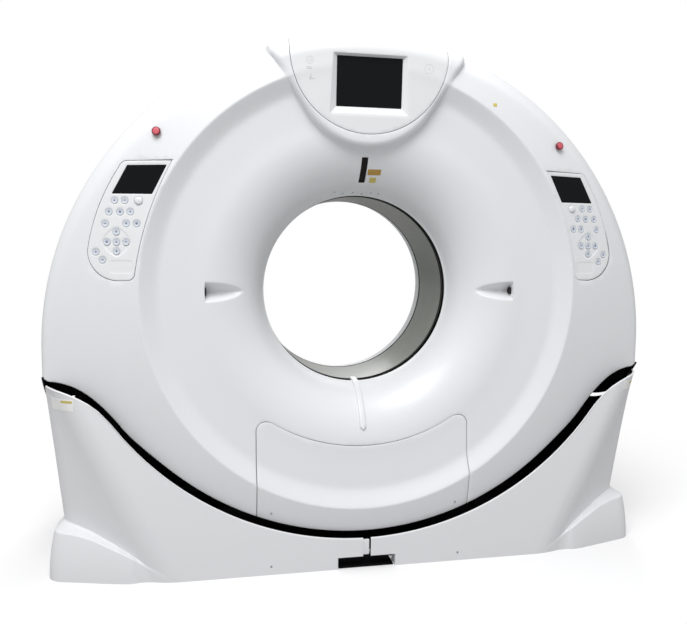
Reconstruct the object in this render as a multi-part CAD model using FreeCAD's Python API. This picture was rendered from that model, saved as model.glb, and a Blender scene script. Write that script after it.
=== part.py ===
import FreeCAD, Part
import math
import os

# Tilting ring-shaped body scanner on a floor-standing base.
# Millimetres. X runs to the right as seen by a person in front, Y to the back, Z up.
# The origin is on the floor under the middle of the scanner.

V = FreeCAD.Vector

# ---------------------------------------------------------------- driving sizes
WIDTH = 2270.0
HEIGHT = 1950.0
DEPTH = 960.0
BORE_RADIUS = 360.0
TILT_LIMIT = 22.0             # degrees each way

# What lies on the face keeps its share of the height.
SHARE = HEIGHT / 1950.0
AXIS_HEIGHT = 1020.0 * SHARE  # patient axis and tilt axis cross here

# Tilting housing
HALF_WIDTH = WIDTH / 2
COVER_WALL = 8.0
FORM_WALL = 9.0               # moulded walls with many flat faces, across and along the axis
FORM_DEPTH = 11.0
FUNNEL_RADIUS = BORE_RADIUS + 240.0 * SHARE   # where the bell-shaped mouth ends
DISH_RADIUS = 735.0 * SHARE   # where the shallow dish ends and the step starts
CREST_RADIUS = 845.0 * SHARE  # crest of the round step
RIM_FRONT = -205.0            # depth of the mouth's rim, front and rear
RIM_REAR = 90.0
FUNNEL_FRONT = -415.0
DISH_FRONT = -425.0
CREST_FRONT = -450.0
FACE_SLOPE = 0.2              # the outer face falls back this much for each mm of radius
EDGE_BEVEL = 26.0             # softened front edge of the housing

# Sweeping gap between the housing and the base, seen from the front: one large arc and two end arcs
GAP = 25.0
GAP_LOW = 138.0 * SHARE       # lowest and highest point of the gap, housing side
GAP_HIGH = 724.0 * SHARE
GAP_RISE = GAP_HIGH - GAP_LOW
BLEND_RADIUS = 315.0 * SHARE
BLEND_CENTRE = GAP_HIGH - BLEND_RADIUS
SWEEP_RADIUS = (HALF_WIDTH ** 2 + GAP_RISE ** 2) / (2 * GAP_RISE) - BLEND_RADIUS
SWEEP_CENTRE = GAP_LOW + SWEEP_RADIUS
LOBE_RADIUS = 485.0           # round lower end of the housing's sides, about the tilt axis
LOBE_CLEARANCE = 14.0

# Round top, which starts from straight sides at the shoulder
SHOULDER = max(HEIGHT - HALF_WIDTH, GAP_HIGH + 91.0 * SHARE)
TOP_RISE = HEIGHT - SHOULDER
TOP_RADIUS = (HALF_WIDTH ** 2 + TOP_RISE ** 2) / (2 * TOP_RISE)
TOP_CENTRE = HEIGHT - TOP_RADIUS
FAR_RADIUS = math.hypot(HALF_WIDTH, AXIS_HEIGHT - GAP_HIGH) + 87.0

# Base
BASE_WALL = 8.0
BASE_TOP = 720.0 * SHARE
BASE_FRONT = DEPTH / 2 - 2.0
RIDGE_FLOOR = HALF_WIDTH - 416.0   # where the flat front ends, at the floor and at the top
RIDGE_TOP = HALF_WIDTH - 61.0
SIDE_FLOOR = HALF_WIDTH - 84.0
SIDE_TOP = HALF_WIDTH + 2.4
SIDE_DEPTH_FLOOR = 300.0
SIDE_DEPTH_TOP = 376.0
TOE_WIDTH = HALF_WIDTH - 11.0
TOE_HEIGHT = 200.0 * SHARE
TOE_START = RIDGE_FLOOR - 3.0
SPLIT_LEFT = -14.0            # facing edges of the two front base covers
SPLIT_RIGHT = 15.0
NOTCH_HALF = 108.0            # cable notch in the middle of the front
NOTCH_HEIGHT = 44.0
NOTCH_LIP = 8.0

# Frame and tilt bearings
PLATE_THICK = 20.0
UPRIGHT_INNER = HALF_WIDTH - 173.0
UPRIGHT_OUTER = HALF_WIDTH - 93.0
UPRIGHT_HALF = 150.0
TRUNNION_RADIUS = 60.0
TRUNNION_FIT = 0.06
ARM_INNER = UPRIGHT_INNER - 70.0
ARM_OUTER = UPRIGHT_INNER - 36.0
FRAME_REAR = 300.0            # rear plate of the tilting frame
BRACKET_FIT = 0.2
FRAME_PLATE = 30.0
FRAME_HOLE = BORE_RADIUS + 150.0
FRAME_RADIUS = 772.0 * SHARE

# Tilt gearing
GEAR_MODULE = 8.0
SECTOR_TEETH_FULL = 80
SECTOR_TEETH_CUT = int(TILT_LIMIT * SECTOR_TEETH_FULL / 180) + 6
PINION_TEETH = 16
GEAR_BACKLASH = 0.5
GEAR_INNER = ARM_OUTER + 2.0
GEAR_OUTER = GEAR_INNER + 22.0
SHAFT_RADIUS = 22.0

# Rotor
ROTOR_RADIUS = 762.0 * SHARE
ROTOR_HOLE = BORE_RADIUS + 110.0
ROTOR_FRONT = 95.0
ROTOR_BACK = 130.0
RACE_RADIUS = BORE_RADIUS + 160.0   # running surface of the main bearing
RACE_GAP = 0.5
SCAN_PLANE = -60.0
SLIP_OUTER = ROTOR_RADIUS - 14.0
SLIP_INNER = ROTOR_RADIUS - 112.0
TUBE_HEIGHT = AXIS_HEIGHT + 630.0 * SHARE

# Display, over the top of the opening
SHIELD_CENTRE = 1808.0
SHIELD_RADIUS = 270.0
SHIELD_CORNER = (357.0, 1855.0)
SHIELD_TOP = 1960.0
DISC_CENTRE = 1869.0
DISC_RADIUS = 285.0
SCREEN_HALF = 118.0
SCREEN_LOW = 1677.0
SCREEN_HIGH = 1848.0
SEAM = 0.7
SHIELD_PARTS = 10             # straight parts of the shield's and the half disc's arcs
DISC_PARTS = 20
SHROUD_BACK = -376.0

# Control panels (right one; the left one is its mirror image)
PANEL_SLOPE_X = 0.129         # the panel's face as depth over X and Z
PANEL_SLOPE_Z = 0.0446
PANEL_DEPTH = -604.5
PANEL_THICK = 14.0
KEY_RADIUS = 11.5
KEY_SIDES = 10
KEY_GAP = 0.5
KEY_DEPTH = 8.0
KEY_TRAVEL = 2.0
DOME_RADIUS = 14.0
KEY_PLACES = [
    (875.5, 1334.5), (841.6, 1334.5),
    (894.4, 1295.5), (857.5, 1295.5), (823.6, 1296.4),
    (907.6, 1255.6), (838.0, 1256.5), (803.5, 1256.5),
    (939.4, 1160.5), (917.5, 1133.5),
]
DOME_PLACE = (796.0, 1333.0)
PAD_CENTRE = (871.0, 1194.0)
PAD_STEP = 31.5
PAD_HALF = 50.0
PAD_DEPTH = 1.5
STOP_PLACE = (733.0, 1565.0)
STOP_RADIUS = 15.0


# ---------------------------------------------------------------- helpers
def shared(points):
    """Points given for the full height, moved to their share of it."""
    return [(x * SHARE, z * SHARE) for x, z in points]


def outline(start, steps, depth):
    """Closed face in the XZ plane. A step is a point, or two points for an arc through the first."""
    edges = []
    here = start
    for step in steps + [start]:
        if isinstance(step[0], tuple):
            middle, end = step
            arc = Part.Arc(V(here[0], depth, here[1]), V(middle[0], depth, middle[1]), V(end[0], depth, end[1]))
            edges.append(arc.toShape())
        else:
            end = step
            if abs(end[0] - here[0]) + abs(end[1] - here[1]) > 1e-6:
                edges.append(Part.makeLine(V(here[0], depth, here[1]), V(end[0], depth, end[1])))
        here = end
    return Part.Face(Part.Wire(edges))


def prism(start, steps, front, back):
    return outline(start, steps, front).extrude(V(0, back - front, 0))


def polygon_prism(points, front, back):
    return prism(points[0], points[1:], front, back)


def chorded(start, steps, parts):
    """Points of an outline with each of its arcs cut into a number of straight parts."""
    points = [start]
    for step in steps:
        here = points[-1]
        if isinstance(step[0], tuple):
            middle, end = step
            arc = Part.Arc(V(here[0], 0, here[1]), V(middle[0], 0, middle[1]), V(end[0], 0, end[1]))
            points += [(p.x, p.z) for p in arc.toShape().discretize(parts + 1)[1:]]
        else:
            points.append(step)
    return points


def block(x0, x1, y0, y1, z0, z1):
    return Part.makeBox(x1 - x0, y1 - y0, z1 - z0, V(x0, y0, z0))


def mirrored(shape):
    return shape.mirror(V(0, 0, 0), V(1, 0, 0))


def mirrored_back(shape):
    return shape.mirror(V(0, 0, 0), V(0, 1, 0))


def flat_face(corners):
    return Part.Face(Part.makePolygon(corners + corners[:1]))


def closed_solid(faces):
    """Solid from flat faces that meet along their edges."""
    skin = Part.makeCompound(faces)
    skin.sewShape()
    solid = Part.makeSolid(skin.Shells[0])
    if solid.Volume < 0:
        solid.reverse()
    return solid


def stacked(rings):
    """Solid through rings of corners, all flat-sided, closed at both ends."""
    faces = [flat_face(rings[0]), flat_face(rings[-1])]
    for low, high in zip(rings[:-1], rings[1:]):
        for k in range(len(low)):
            n = (k + 1) % len(low)
            faces.append(flat_face([low[k], low[n], high[n], high[k]]))
    return closed_solid(faces)


def facet_ring(radius, depth, sides):
    """Corners of a many-sided ring that just holds a circle of the radius."""
    corners = []
    radius = radius / math.cos(math.pi / sides)
    for k in range(sides):
        angle = 2 * math.pi * (k + 0.5) / sides
        corners.append(V(radius * math.cos(angle), depth, AXIS_HEIGHT + radius * math.sin(angle)))
    return corners


def faceted(profile, sides):
    """Many-sided form about the patient axis through (radius, depth) sections."""
    return stacked([facet_ring(r, y, sides) for r, y in profile])


def rod(centre, direction, radius, length):
    return Part.makeCylinder(radius, length, centre, direction)


def fused(shapes):
    return shapes[0].multiFuse(shapes[1:]).removeSplitter()


# ---------------------------------------------------------------- housing outline
def blend_point(sweep):
    """Where the large arc of the sweeping gap meets the right end arc."""
    across = HALF_WIDTH
    down = SWEEP_CENTRE - BLEND_CENTRE
    reach = math.hypot(across, down)
    return (sweep * across / reach, SWEEP_CENTRE - sweep * down / reach)


def gap_steps(offset):
    """Arcs of the sweeping gap from left to right, offset upwards (into the housing)."""
    sweep = SWEEP_RADIUS - offset
    blend = BLEND_RADIUS + offset
    meet_x, meet_z = blend_point(sweep)
    turn = math.atan2(meet_z - BLEND_CENTRE, meet_x - HALF_WIDTH)
    half = (turn + math.pi / 2) / 2
    mid = (HALF_WIDTH + blend * math.cos(half), BLEND_CENTRE + blend * math.sin(half))
    left_arc = ((-mid[0], mid[1]), (-meet_x, meet_z))
    large_arc = ((0.0, SWEEP_CENTRE - sweep), (meet_x, meet_z))
    right_arc = (mid, (HALF_WIDTH, BLEND_CENTRE + blend))
    return [left_arc, large_arc, right_arc]


def housing_prism(inset, front, back):
    half = HALF_WIDTH - inset
    start = (-HALF_WIDTH, GAP_HIGH + inset)
    body = prism(start, gap_steps(inset) + [(HALF_WIDTH, SHOULDER), (-HALF_WIDTH, SHOULDER)], front, back)
    side = block(-half, half, front, back, 0, HEIGHT)
    top = rod(V(0, front, TOP_CENTRE), V(0, 1, 0), TOP_RADIUS - inset, back - front)
    upper = top.common(block(-half, half, front, back, SHOULDER, HEIGHT + 1))
    return fused([body.common(side), upper])


def plain_housing(inset, front, back):
    """The housing's outline with its round stretches as chords, for inner faces."""
    half = HALF_WIDTH - inset
    points = chorded((-HALF_WIDTH, GAP_HIGH + inset), gap_steps(inset), 8)
    points = [(max(-half, min(half, x)), z) for x, z in points]
    top = ((0.0, HEIGHT - inset), (-half, SHOULDER))
    return polygon_prism(chorded(points[0], points[1:] + [(half, SHOULDER), top], 24), front, back)


def funnel(depth_rim, depth_end, bands):
    """Bell-shaped mouth: a quarter ellipse from the rim, cut into bands."""
    points = []
    for k in range(bands + 1):
        turn = math.radians(90.0 * (k / bands) ** 0.85)
        radius = FUNNEL_RADIUS - (FUNNEL_RADIUS - BORE_RADIUS) * math.cos(turn)
        points.append((radius, depth_rim + (depth_end - depth_rim) * math.sin(turn)))
    return points


RIM_LAND = 34.0               # behind its rim, nothing of a cover is nearer the bore than this
LOWER_OPENING = 360.0


def face_depth(radius):
    """Depth of the housing's sloping outer face at a radius from the patient axis."""
    return CREST_FRONT + FACE_SLOPE * (radius - CREST_RADIUS)


def cover_form(mouth, outer_steps, sides, sign):
    """Full outer form of one cover, from its mouth to the seam at the middle."""
    rim_r, rim_y = mouth[0]
    behind = rim_r + RIM_LAND
    rings = [(behind, -sign * 20.0), (behind, rim_y), (rim_r, rim_y + sign * 0.5)]
    rings += mouth[1:] + outer_steps + [(FAR_RADIUS, sign * 600.0)]
    return housing_prism(0.0, min(0.0, sign * 500.0), max(0.0, sign * 500.0)).cut(faceted(rings, sides))


def hollow(mouth, outer_steps, sign):
    """Space behind one cover, with plain many-sided inner faces."""
    wall = FORM_WALL
    core = [(mouth[0][0] + wall, -sign * 20.0), (mouth[0][0] + wall, mouth[0][1] - sign * 4.0)]
    middle = len(mouth) // 2
    for r, y in [mouth[middle], mouth[-1], outer_steps[-2], outer_steps[-1]]:
        core.append((r + wall, y - sign * FORM_DEPTH))
    core.append((outer_steps[-1][0] + wall, outer_steps[-1][1] + sign * 200.0))
    front = -500.0 if sign < 0 else -5.0
    space = plain_housing(COVER_WALL, front, front + 505.0)
    return space.cut(faceted(core, 12))


def lower_opening(sign):
    """The covers are open underneath, inside a rim that follows the sweeping gap."""
    front = -LOWER_OPENING if sign < 0 else 0.0
    half = HALF_WIDTH - COVER_WALL
    under = block(-half, half, front, front + LOWER_OPENING, 0, GAP_HIGH + 56.0)
    return under.cut(plain_housing(COVER_WALL, front - 5, front + LOWER_OPENING + 5))


def side_lobes(sign):
    """Round lower ends of the housing's sides, which close the gap to the base at any tilt."""
    right = rod(V(HALF_WIDTH - COVER_WALL, 0, AXIS_HEIGHT), V(1, 0, 0), LOBE_RADIUS, COVER_WALL)
    front = -500.0 if sign < 0 else 0.0
    right = right.common(block(0, WIDTH, front, front + 500.0, 0, GAP_HIGH + 2))
    return [right, mirrored(right)]


def bevel(form, sign):
    """Soften the edge between the housing's face and its round top and sides."""
    edges = []
    for edge in form.Edges:
        middle = edge.valueAt((edge.FirstParameter + edge.LastParameter) / 2)
        reach = math.hypot(middle.x, middle.z - TOP_CENTRE)
        on_top = middle.z > SHOULDER and abs(reach - TOP_RADIUS) < 1
        on_side = abs(abs(middle.x) - HALF_WIDTH) < 1 and middle.z <= SHOULDER
        if (on_top or on_side) and middle.y * sign > 300:
            ends = [v.Point.y * sign for v in edge.Vertexes]
            if min(ends) > 300:
                edges.append(edge)
    return form.makeChamfer(EDGE_BEVEL, edges)


# ---------------------------------------------------------------- display outlines
def shield(inset, front, back):
    radius = SHIELD_RADIUS - inset
    swing = math.radians(55)
    side = (radius * math.sin(swing), SHIELD_CENTRE - radius * math.cos(swing))
    corner = (SHIELD_CORNER[0] - inset, SHIELD_CORNER[1])
    top = (corner[0] + 8, SHIELD_TOP)
    arc = ((0.0, SHIELD_CENTRE - radius), side)
    steps = [arc, corner, top, (-top[0], top[1]), (-corner[0], corner[1])]
    return polygon_prism(shared(chorded((-side[0], side[1]), steps, SHIELD_PARTS)), front, back)


def half_disc(inset, front, back):
    radius = DISC_RADIUS - inset
    low = ((0.0, DISC_CENTRE - radius), (radius, DISC_CENTRE))
    steps = [low, (radius + 8, DISC_CENTRE + 12), (-radius - 8, DISC_CENTRE + 12)]
    return polygon_prism(shared(chorded((-radius, DISC_CENTRE), steps, DISC_PARTS)), front, back)


SHROUD_FACE = [(-443.0, 1530.0), (-467.0, 1868.0), (-457.0, 1903.0), (-432.0, 1930.0), (-395.0, 1943.0)]


def shroud_side(inset):
    """Side view of the display shroud: a leaning face that turns over at the top."""
    points = [(y + inset, z) for y, z in SHROUD_FACE]
    points += [(SHROUD_BACK, SHIELD_TOP), (SHROUD_BACK, SHROUD_FACE[0][1])]
    wire = Part.makePolygon([V(-400, y, z * SHARE) for y, z in points + points[:1]])
    return Part.Face(wire).extrude(V(800, 0, 0))


def screen_frame(margin, lean, height):
    """Rectangle of the screen, grown by a margin, on the leaning face."""
    low = SCREEN_LOW - margin
    high = SCREEN_HIGH + margin * 0.6
    half = SCREEN_HALF + margin
    corners = [(-half, low), (half, low), (half, high), (-half, high), (-half, low)]
    return Part.makePolygon([V(x * SHARE, lean(z) + height, z * SHARE) for x, z in corners])


def face_lean(z):
    (y0, z0), (y1, z1) = SHROUD_FACE[0], SHROUD_FACE[1]
    return y0 + (y1 - y0) * (z - z0) / (z1 - z0)


# ---------------------------------------------------------------- control panels
PANEL_NORMAL = V(PANEL_SLOPE_X / SHARE, -1.0, PANEL_SLOPE_Z / SHARE).normalize()


def on_panel(x, z, height=0.0):
    """Point on the right panel's face, or above it by height."""
    face = V(x * SHARE, PANEL_DEPTH + PANEL_SLOPE_X * x + PANEL_SLOPE_Z * z, z * SHARE)
    return face + PANEL_NORMAL * height


def panel_solid(points, height, depth):
    """Prism square to the panel's face, from a height above it down to a depth below it."""
    corners = [on_panel(x, z, height) for x, z in points]
    return flat_face(corners).extrude(PANEL_NORMAL * -(height + depth))


def panel_outline(inset):
    """Outline that follows the round step on its inner side."""
    i = inset
    start = (682.0 + i * 1.3, 1472.0 - i)
    inner = ((771.0 + i, 1264.0), (812.0 + i, 1086.0))
    corner = ((819.0 + i, 1070.0 + i * 0.7), (835.0 + i * 0.3, 1063.0 + i))
    foot = (868.0, 1062.0 + i)
    heel = ((938.0 - i * 0.7, 1092.0 + i * 0.7), (967.0 - i, 1164.0))
    outer = ((936.0 - i, 1290.0), (860.0 - i, 1445.0 - i * 0.4))
    head = ((850.0 - i * 0.8, 1460.0 - i * 0.8), (836.0 - i * 0.4, 1467.0 - i))
    return chorded(start, [inner, corner, foot, heel, outer, head], 3)


def key_prism(x, z, radius, height, depth):
    """Round key or its well, square to the panel's face."""
    corners = []
    side = V(SHARE, PANEL_SLOPE_X, 0).normalize()
    up = PANEL_NORMAL.cross(side)
    centre = on_panel(x, z, height)
    for k in range(KEY_SIDES + 1):
        angle = 2 * math.pi * (k % KEY_SIDES) / KEY_SIDES
        corners.append(centre + side * (radius * math.cos(angle)) + up * (radius * math.sin(angle)))
    return Part.Face(Part.makePolygon(corners)).extrude(PANEL_NORMAL * -(height + depth))


def pad_places():
    x, z = PAD_CENTRE
    return [(x, z + PAD_STEP + 3), (x + PAD_STEP, z), (x, z), (x - PAD_STEP, z), (x, z - PAD_STEP)]


def all_keys():
    places = [(p, KEY_RADIUS) for p in KEY_PLACES + pad_places()]
    return places + [(DOME_PLACE, DOME_RADIUS)]


def pad_recess(inset, height, depth):
    """Eight-sided recess around the five direction keys."""
    x, z = PAD_CENTRE
    h = PAD_HALF - inset
    w = h * 0.94
    b = h * 0.66
    points = [(x - w, z), (x - b, z + b), (x, z + h), (x + b, z + b), (x + w, z), (x + b, z - b), (x, z - h),
              (x - b, z - b)]
    return panel_solid(points, height, depth)


PANEL_SCREEN = [(832.0, 1452.0), (701.0, 1455.0), (751.0, 1356.0), (884.0, 1356.0)]


def control_panel():
    plate = panel_solid(panel_outline(SEAM), 0.0, PANEL_THICK)
    cuts = [pad_recess(0.0, 5.0, PAD_DEPTH), panel_solid(PANEL_SCREEN, 5.0, 6.0)]
    for (x, z), radius in all_keys():
        cuts.append(key_prism(x, z, radius + KEY_GAP, 5.0, KEY_DEPTH + KEY_TRAVEL + 0.5))
    return plate.cut(fused(cuts))


def panel_screen():
    return panel_solid(PANEL_SCREEN, -1.0, 6.0)


def panel_opening():
    return panel_solid(panel_outline(0.0), 30.0, 60.0)


def stop_frame():
    """Place and outward direction of the right emergency stop button."""
    x, z = shared([STOP_PLACE])[0]
    radius = math.hypot(x, z - AXIS_HEIGHT)
    out = V(FACE_SLOPE * x / radius, -1.0, FACE_SLOPE * (z - AXIS_HEIGHT) / radius).normalize()
    return V(x, face_depth(radius), z), out


def stop_prism(radius, height, depth):
    place, out = stop_frame()
    side = V(1, 0, 0).cross(out).normalize()
    up = out.cross(side)
    corners = []
    for k in range(KEY_SIDES + 1):
        angle = 2 * math.pi * (k % KEY_SIDES) / KEY_SIDES
        corners.append(place + out * height + side * (radius * math.cos(angle)) + up * (radius * math.sin(angle)))
    return Part.Face(Part.makePolygon(corners)).extrude(out * -(height + depth))


def emergency_stop():
    return fused([stop_prism(STOP_RADIUS, 16.0, -6.0), stop_prism(9.0, 8.0, 20.0)])


# ---------------------------------------------------------------- housing parts
def service_outline(inset, front, back):
    """Lower service panel: straight sides, round shoulders and a hollow top edge."""
    half = 402.0 - inset
    shoulder = 515.0
    top = 548.0 - inset
    start = (-half, 60.0)
    right = [(half, 60.0), (half, shoulder), ((half - 10, shoulder + 23), (half - 34, top)),
             ((half - 50, top - 2), (half - 66, top - 10))]
    low = ((0.0, 443.0 - inset), (-half + 66, top - 10))
    left = [((-half + 50, top - 2), (-half + 34, top)), ((-half + 10, shoulder + 23), (-half, shoulder))]
    shoulders = chorded(start, right, 3)
    edge = shoulders + chorded(shoulders[-1], [low], 12)[1:] + chorded(low[1], left, 3)[1:]
    return polygon_prism(shared(edge), front, back)


SCOOP_INNER = 448.0 * SHARE
SCOOP_OUTER = 577.0 * SHARE
SCOOP_HALF = 34.0
SCOOP_FLOOR = -366.0


def scoop(grow, front, back):
    inner = SCOOP_INNER - grow
    outer = SCOOP_OUTER + grow
    half = SCOOP_HALF + grow
    points = [(inner, AXIS_HEIGHT - half * 0.5), (inner + half * 0.6, AXIS_HEIGHT - half), (outer, AXIS_HEIGHT - half),
              (outer, AXIS_HEIGHT + half), (inner + half * 0.6, AXIS_HEIGHT + half), (inner, AXIS_HEIGHT + half * 0.5)]
    return polygon_prism(points, front, back)


SLOT_TOP = (-386.0, 1509.0 * SHARE)
SLOT_FOOT = (-322.0, 1423.0 * SHARE)
SLOT_HALF = 12.0


def slot_box(grow, above, below):
    """Slot in the mouth above the bore, square to the chord of its wall."""
    top = V(0, SLOT_TOP[0], SLOT_TOP[1])
    foot = V(0, SLOT_FOOT[0], SLOT_FOOT[1])
    along = (foot - top).normalize()
    out = V(1, 0, 0).cross(along).normalize()
    if out.y > 0:
        out = out * -1
    half = V(SLOT_HALF + grow, 0, 0)
    a = top - along * grow + out * above
    b = foot + along * grow + out * above
    wire = Part.makePolygon([a - half, a + half, b + half, b - half, a - half])
    return Part.Face(wire).extrude(out * -(above + below))


FRONT_MOUTH = funnel(RIM_FRONT, FUNNEL_FRONT, 5)
FRONT_STEPS = [(DISH_RADIUS, DISH_FRONT), (DISH_RADIUS + 30, DISH_FRONT - 5), (CREST_RADIUS - 35, CREST_FRONT + 4),
               (CREST_RADIUS, CREST_FRONT), (FAR_RADIUS, face_depth(FAR_RADIUS))]
FRONT_SIDES = 48
REAR_SIDES = 36
REAR_MOUTH = funnel(RIM_REAR, -FUNNEL_FRONT, 3)
REAR_STEPS = [(CREST_RADIUS, -CREST_FRONT - 16.0), (FAR_RADIUS, -face_depth(FAR_RADIUS) - 4.0)]


def front_shell():
    form = bevel(cover_form(FRONT_MOUTH, FRONT_STEPS, FRONT_SIDES, -1), -1)
    shell = form.cut(hollow(FRONT_MOUTH, FRONT_STEPS, -1)).cut(lower_opening(-1))
    pocket = scoop(6.0, -403.0, SCOOP_FLOOR + 6.0).cut(scoop(0.0, -500.0, SCOOP_FLOOR))
    additions = side_lobes(-1) + [pocket, mirrored(pocket)]
    shell = shell.cut(Part.makeCompound([scoop(0.0, -500.0, SCOOP_FLOOR), mirrored(scoop(0.0, -500.0, SCOOP_FLOOR)),
                                         panel_opening(), mirrored(panel_opening()), slot_box(0.5, 30.0, 40.0),
                                         stop_prism(9.6, 30.0, 60.0), mirrored(stop_prism(9.6, 30.0, 60.0)),
                                         shield(0.0, -520.0, SHROUD_BACK + SEAM)]))
    return fused([shell] + additions)


def rear_cover():
    """Plain rear cover: the same form with many flat sides and no step."""
    form = cover_form(REAR_MOUTH, REAR_STEPS, REAR_SIDES, 1)
    shell = form.cut(hollow(REAR_MOUTH, REAR_STEPS, 1)).cut(lower_opening(1))
    return fused([shell] + side_lobes(1))


def front_cover(shell):
    return shell.cut(service_outline(0.0, -500.0, -330.0))


def service_panel(shell):
    return shell.common(service_outline(SEAM, -500.0, -330.0))


def display_shroud():
    body = shield(SEAM, -500.0, SHROUD_BACK).common(shroud_side(0.0))
    body = body.common(rod(V(0, -520, TOP_CENTRE), V(0, 1, 0), TOP_RADIUS, 200))
    inside = shield(SEAM + 7.0, -500.0, -360.0).common(shroud_side(7.0))
    inside = inside.common(rod(V(0, -520, TOP_CENTRE), V(0, 1, 0), TOP_RADIUS - 7.0, 200))
    return body.cut(inside).cut(half_disc(0.0, -500.0, -380.0))


def display_panel():
    """Half-round display panel with a sloping frame around the screen."""
    face = shroud_side(-3.0)
    plate = half_disc(SEAM, -500.0, -400.0).common(face).cut(shroud_side(20.0))
    window = Part.makeLoft([screen_frame(22.0, face_lean, -12.0), screen_frame(0.0, face_lean, 10.0)], True, True)
    through = Part.makeLoft([screen_frame(0.0, face_lean, 5.0), screen_frame(0.0, face_lean, 40.0)], True, True)
    return plate.cut(window).cut(through)


def display_screen():
    return Part.makeLoft([screen_frame(0.0, face_lean, 11.0), screen_frame(0.0, face_lean, 19.0)], True, True)


def laser_windows():
    slot = slot_box(0.0, -1.0, 8.0)
    side = block(SCOOP_OUTER - 3.0, SCOOP_OUTER, -398.0, SCOOP_FLOOR, AXIS_HEIGHT - 13, AXIS_HEIGHT + 13)
    return Part.makeCompound([slot, side, mirrored(side)])


def scan_window():
    outer = faceted([(BORE_RADIUS + 6.0, RIM_FRONT), (BORE_RADIUS + 6.0, RIM_REAR)], FRONT_SIDES)
    return outer.cut(faceted([(BORE_RADIUS, RIM_FRONT - 5), (BORE_RADIUS, RIM_REAR + 5)], FRONT_SIDES))


def contact_strip(shell):
    """Raised strip that runs down the mouth from the lower edge of the bore."""
    half = 12.0
    proud = 8.0
    sunk = 3.0
    course = [(BORE_RADIUS, RIM_FRONT - sunk - 1.0)] + FRONT_MOUTH[1:5]
    outer = [(r - proud, y) if y > -300 else (r - proud * 0.4, y - proud) for r, y in course]
    inner = [(r + sunk, y + sunk) for r, y in course]
    points = [V(-half, y, AXIS_HEIGHT - r) for r, y in outer + inner[::-1]]
    bar = flat_face(points).extrude(V(2 * half, 0, 0))
    return bar.cut(shell)


# ---------------------------------------------------------------- base covers
def base_section(height, inset):
    """Corners of the base's eight-sided plan at a height."""
    share = height / BASE_TOP
    ridge = RIDGE_FLOOR + (RIDGE_TOP - RIDGE_FLOOR) * share - inset * 0.5
    side = SIDE_FLOOR + (SIDE_TOP - SIDE_FLOOR) * share - inset
    depth = SIDE_DEPTH_FLOOR + (SIDE_DEPTH_TOP - SIDE_DEPTH_FLOOR) * share - inset * 0.6
    front = BASE_FRONT - inset
    plan = [(-ridge, -front), (ridge, -front), (side, -depth), (side, depth), (ridge, front), (-ridge, front),
            (-side, depth), (-side, -depth)]
    return [V(x, y, height) for x, y in plan]


def base_form(inset, low, high):
    """Flat-sided body of the base. Each twisted corner is two triangles with the fold near the side."""
    foot = base_section(low, inset)
    head = base_section(high, inset)
    faces = [flat_face(foot), flat_face(head)]
    for k in range(8):
        n = (k + 1) % 8
        if k in (1, 5):
            faces += [flat_face([foot[k], foot[n], head[k]]), flat_face([head[k], foot[n], head[n]])]
        elif k in (3, 7):
            faces += [flat_face([foot[k], foot[n], head[n]]), flat_face([foot[k], head[n], head[k]])]
        else:
            faces.append(flat_face([foot[k], foot[n], head[n], head[k]]))
    return closed_solid(faces)


def toe():
    """Wedge-shaped foot that spreads out of the lower front corner."""
    outer_arc = ((TOE_WIDTH - 8, TOE_HEIGHT * 0.75), (TOE_WIDTH - 28, TOE_HEIGHT))
    top_arc = ((TOE_WIDTH - 199, TOE_HEIGHT * 0.89), (TOE_START, 0.0))
    profile = prism((TOE_START, 0.0), [(TOE_WIDTH - 6, 0.0), (TOE_WIDTH, 14.0), (TOE_WIDTH, TOE_HEIGHT * 0.45),
                                       outer_arc, (TOE_WIDTH - 60, TOE_HEIGHT), top_arc], -480.0, -120.0)
    plan_points = [(TOE_START - 4, -474.0), (TOE_WIDTH - 14, -380.0), (TOE_WIDTH, -362.0), (TOE_WIDTH, -250.0),
                   (SIDE_FLOOR - 11, -125.0), (TOE_START - 4, -125.0)]
    wire = Part.makePolygon([V(x, y, 0) for x, y in plan_points + plan_points[:1]])
    plan = Part.Face(wire).extrude(V(0, 0, TOE_HEIGHT + 1))
    return profile.common(plan)


def below_gap():
    steps = gap_steps(-GAP)
    level = GAP_HIGH - GAP
    far = HALF_WIDTH + 165.0
    return prism((-far, -20.0), [(-far, level), (-HALF_WIDTH, level)] + steps + [(far, level), (far, -20.0)],
                 -600.0, 600.0)


def base_shell():
    corner = toe()
    toes = [corner, mirrored(corner), mirrored_back(corner), mirrored_back(mirrored(corner))]
    outer = fused([base_form(0.0, 0.0, BASE_TOP)] + toes)
    walls = outer.cut(base_form(BASE_WALL, -1.0, BASE_TOP + 1.0))
    saddle = rod(V(-WIDTH, 0, AXIS_HEIGHT), V(1, 0, 0), LOBE_RADIUS + LOBE_CLEARANCE, 2 * WIDTH)
    walls = walls.common(below_gap()).cut(saddle)
    frame = block(-NOTCH_HALF - NOTCH_LIP, NOTCH_HALF + NOTCH_LIP, -BASE_FRONT + 1, -BASE_FRONT + 42.0, 0,
                  NOTCH_HEIGHT + NOTCH_LIP)
    notch = block(-NOTCH_HALF, NOTCH_HALF, -600, -400, -5, NOTCH_HEIGHT)
    return fused([walls, frame]).cut(notch)


def left_base_cover(shell):
    half = shell.common(block(-WIDTH, SPLIT_LEFT, -600, 0, -5, HEIGHT))
    tab = block(SPLIT_LEFT - 20, 8.0, -BASE_FRONT + 2.0, -BASE_FRONT + BASE_WALL, NOTCH_HEIGHT + NOTCH_LIP + 2.0, 104.0)
    return fused([half, tab])


def right_base_cover(shell):
    return shell.common(block(SPLIT_RIGHT, WIDTH, -600, 0, -5, HEIGHT))


def rear_base_cover(shell):
    return shell.common(block(-WIDTH, WIDTH, 0, 600, -5, HEIGHT))


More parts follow.
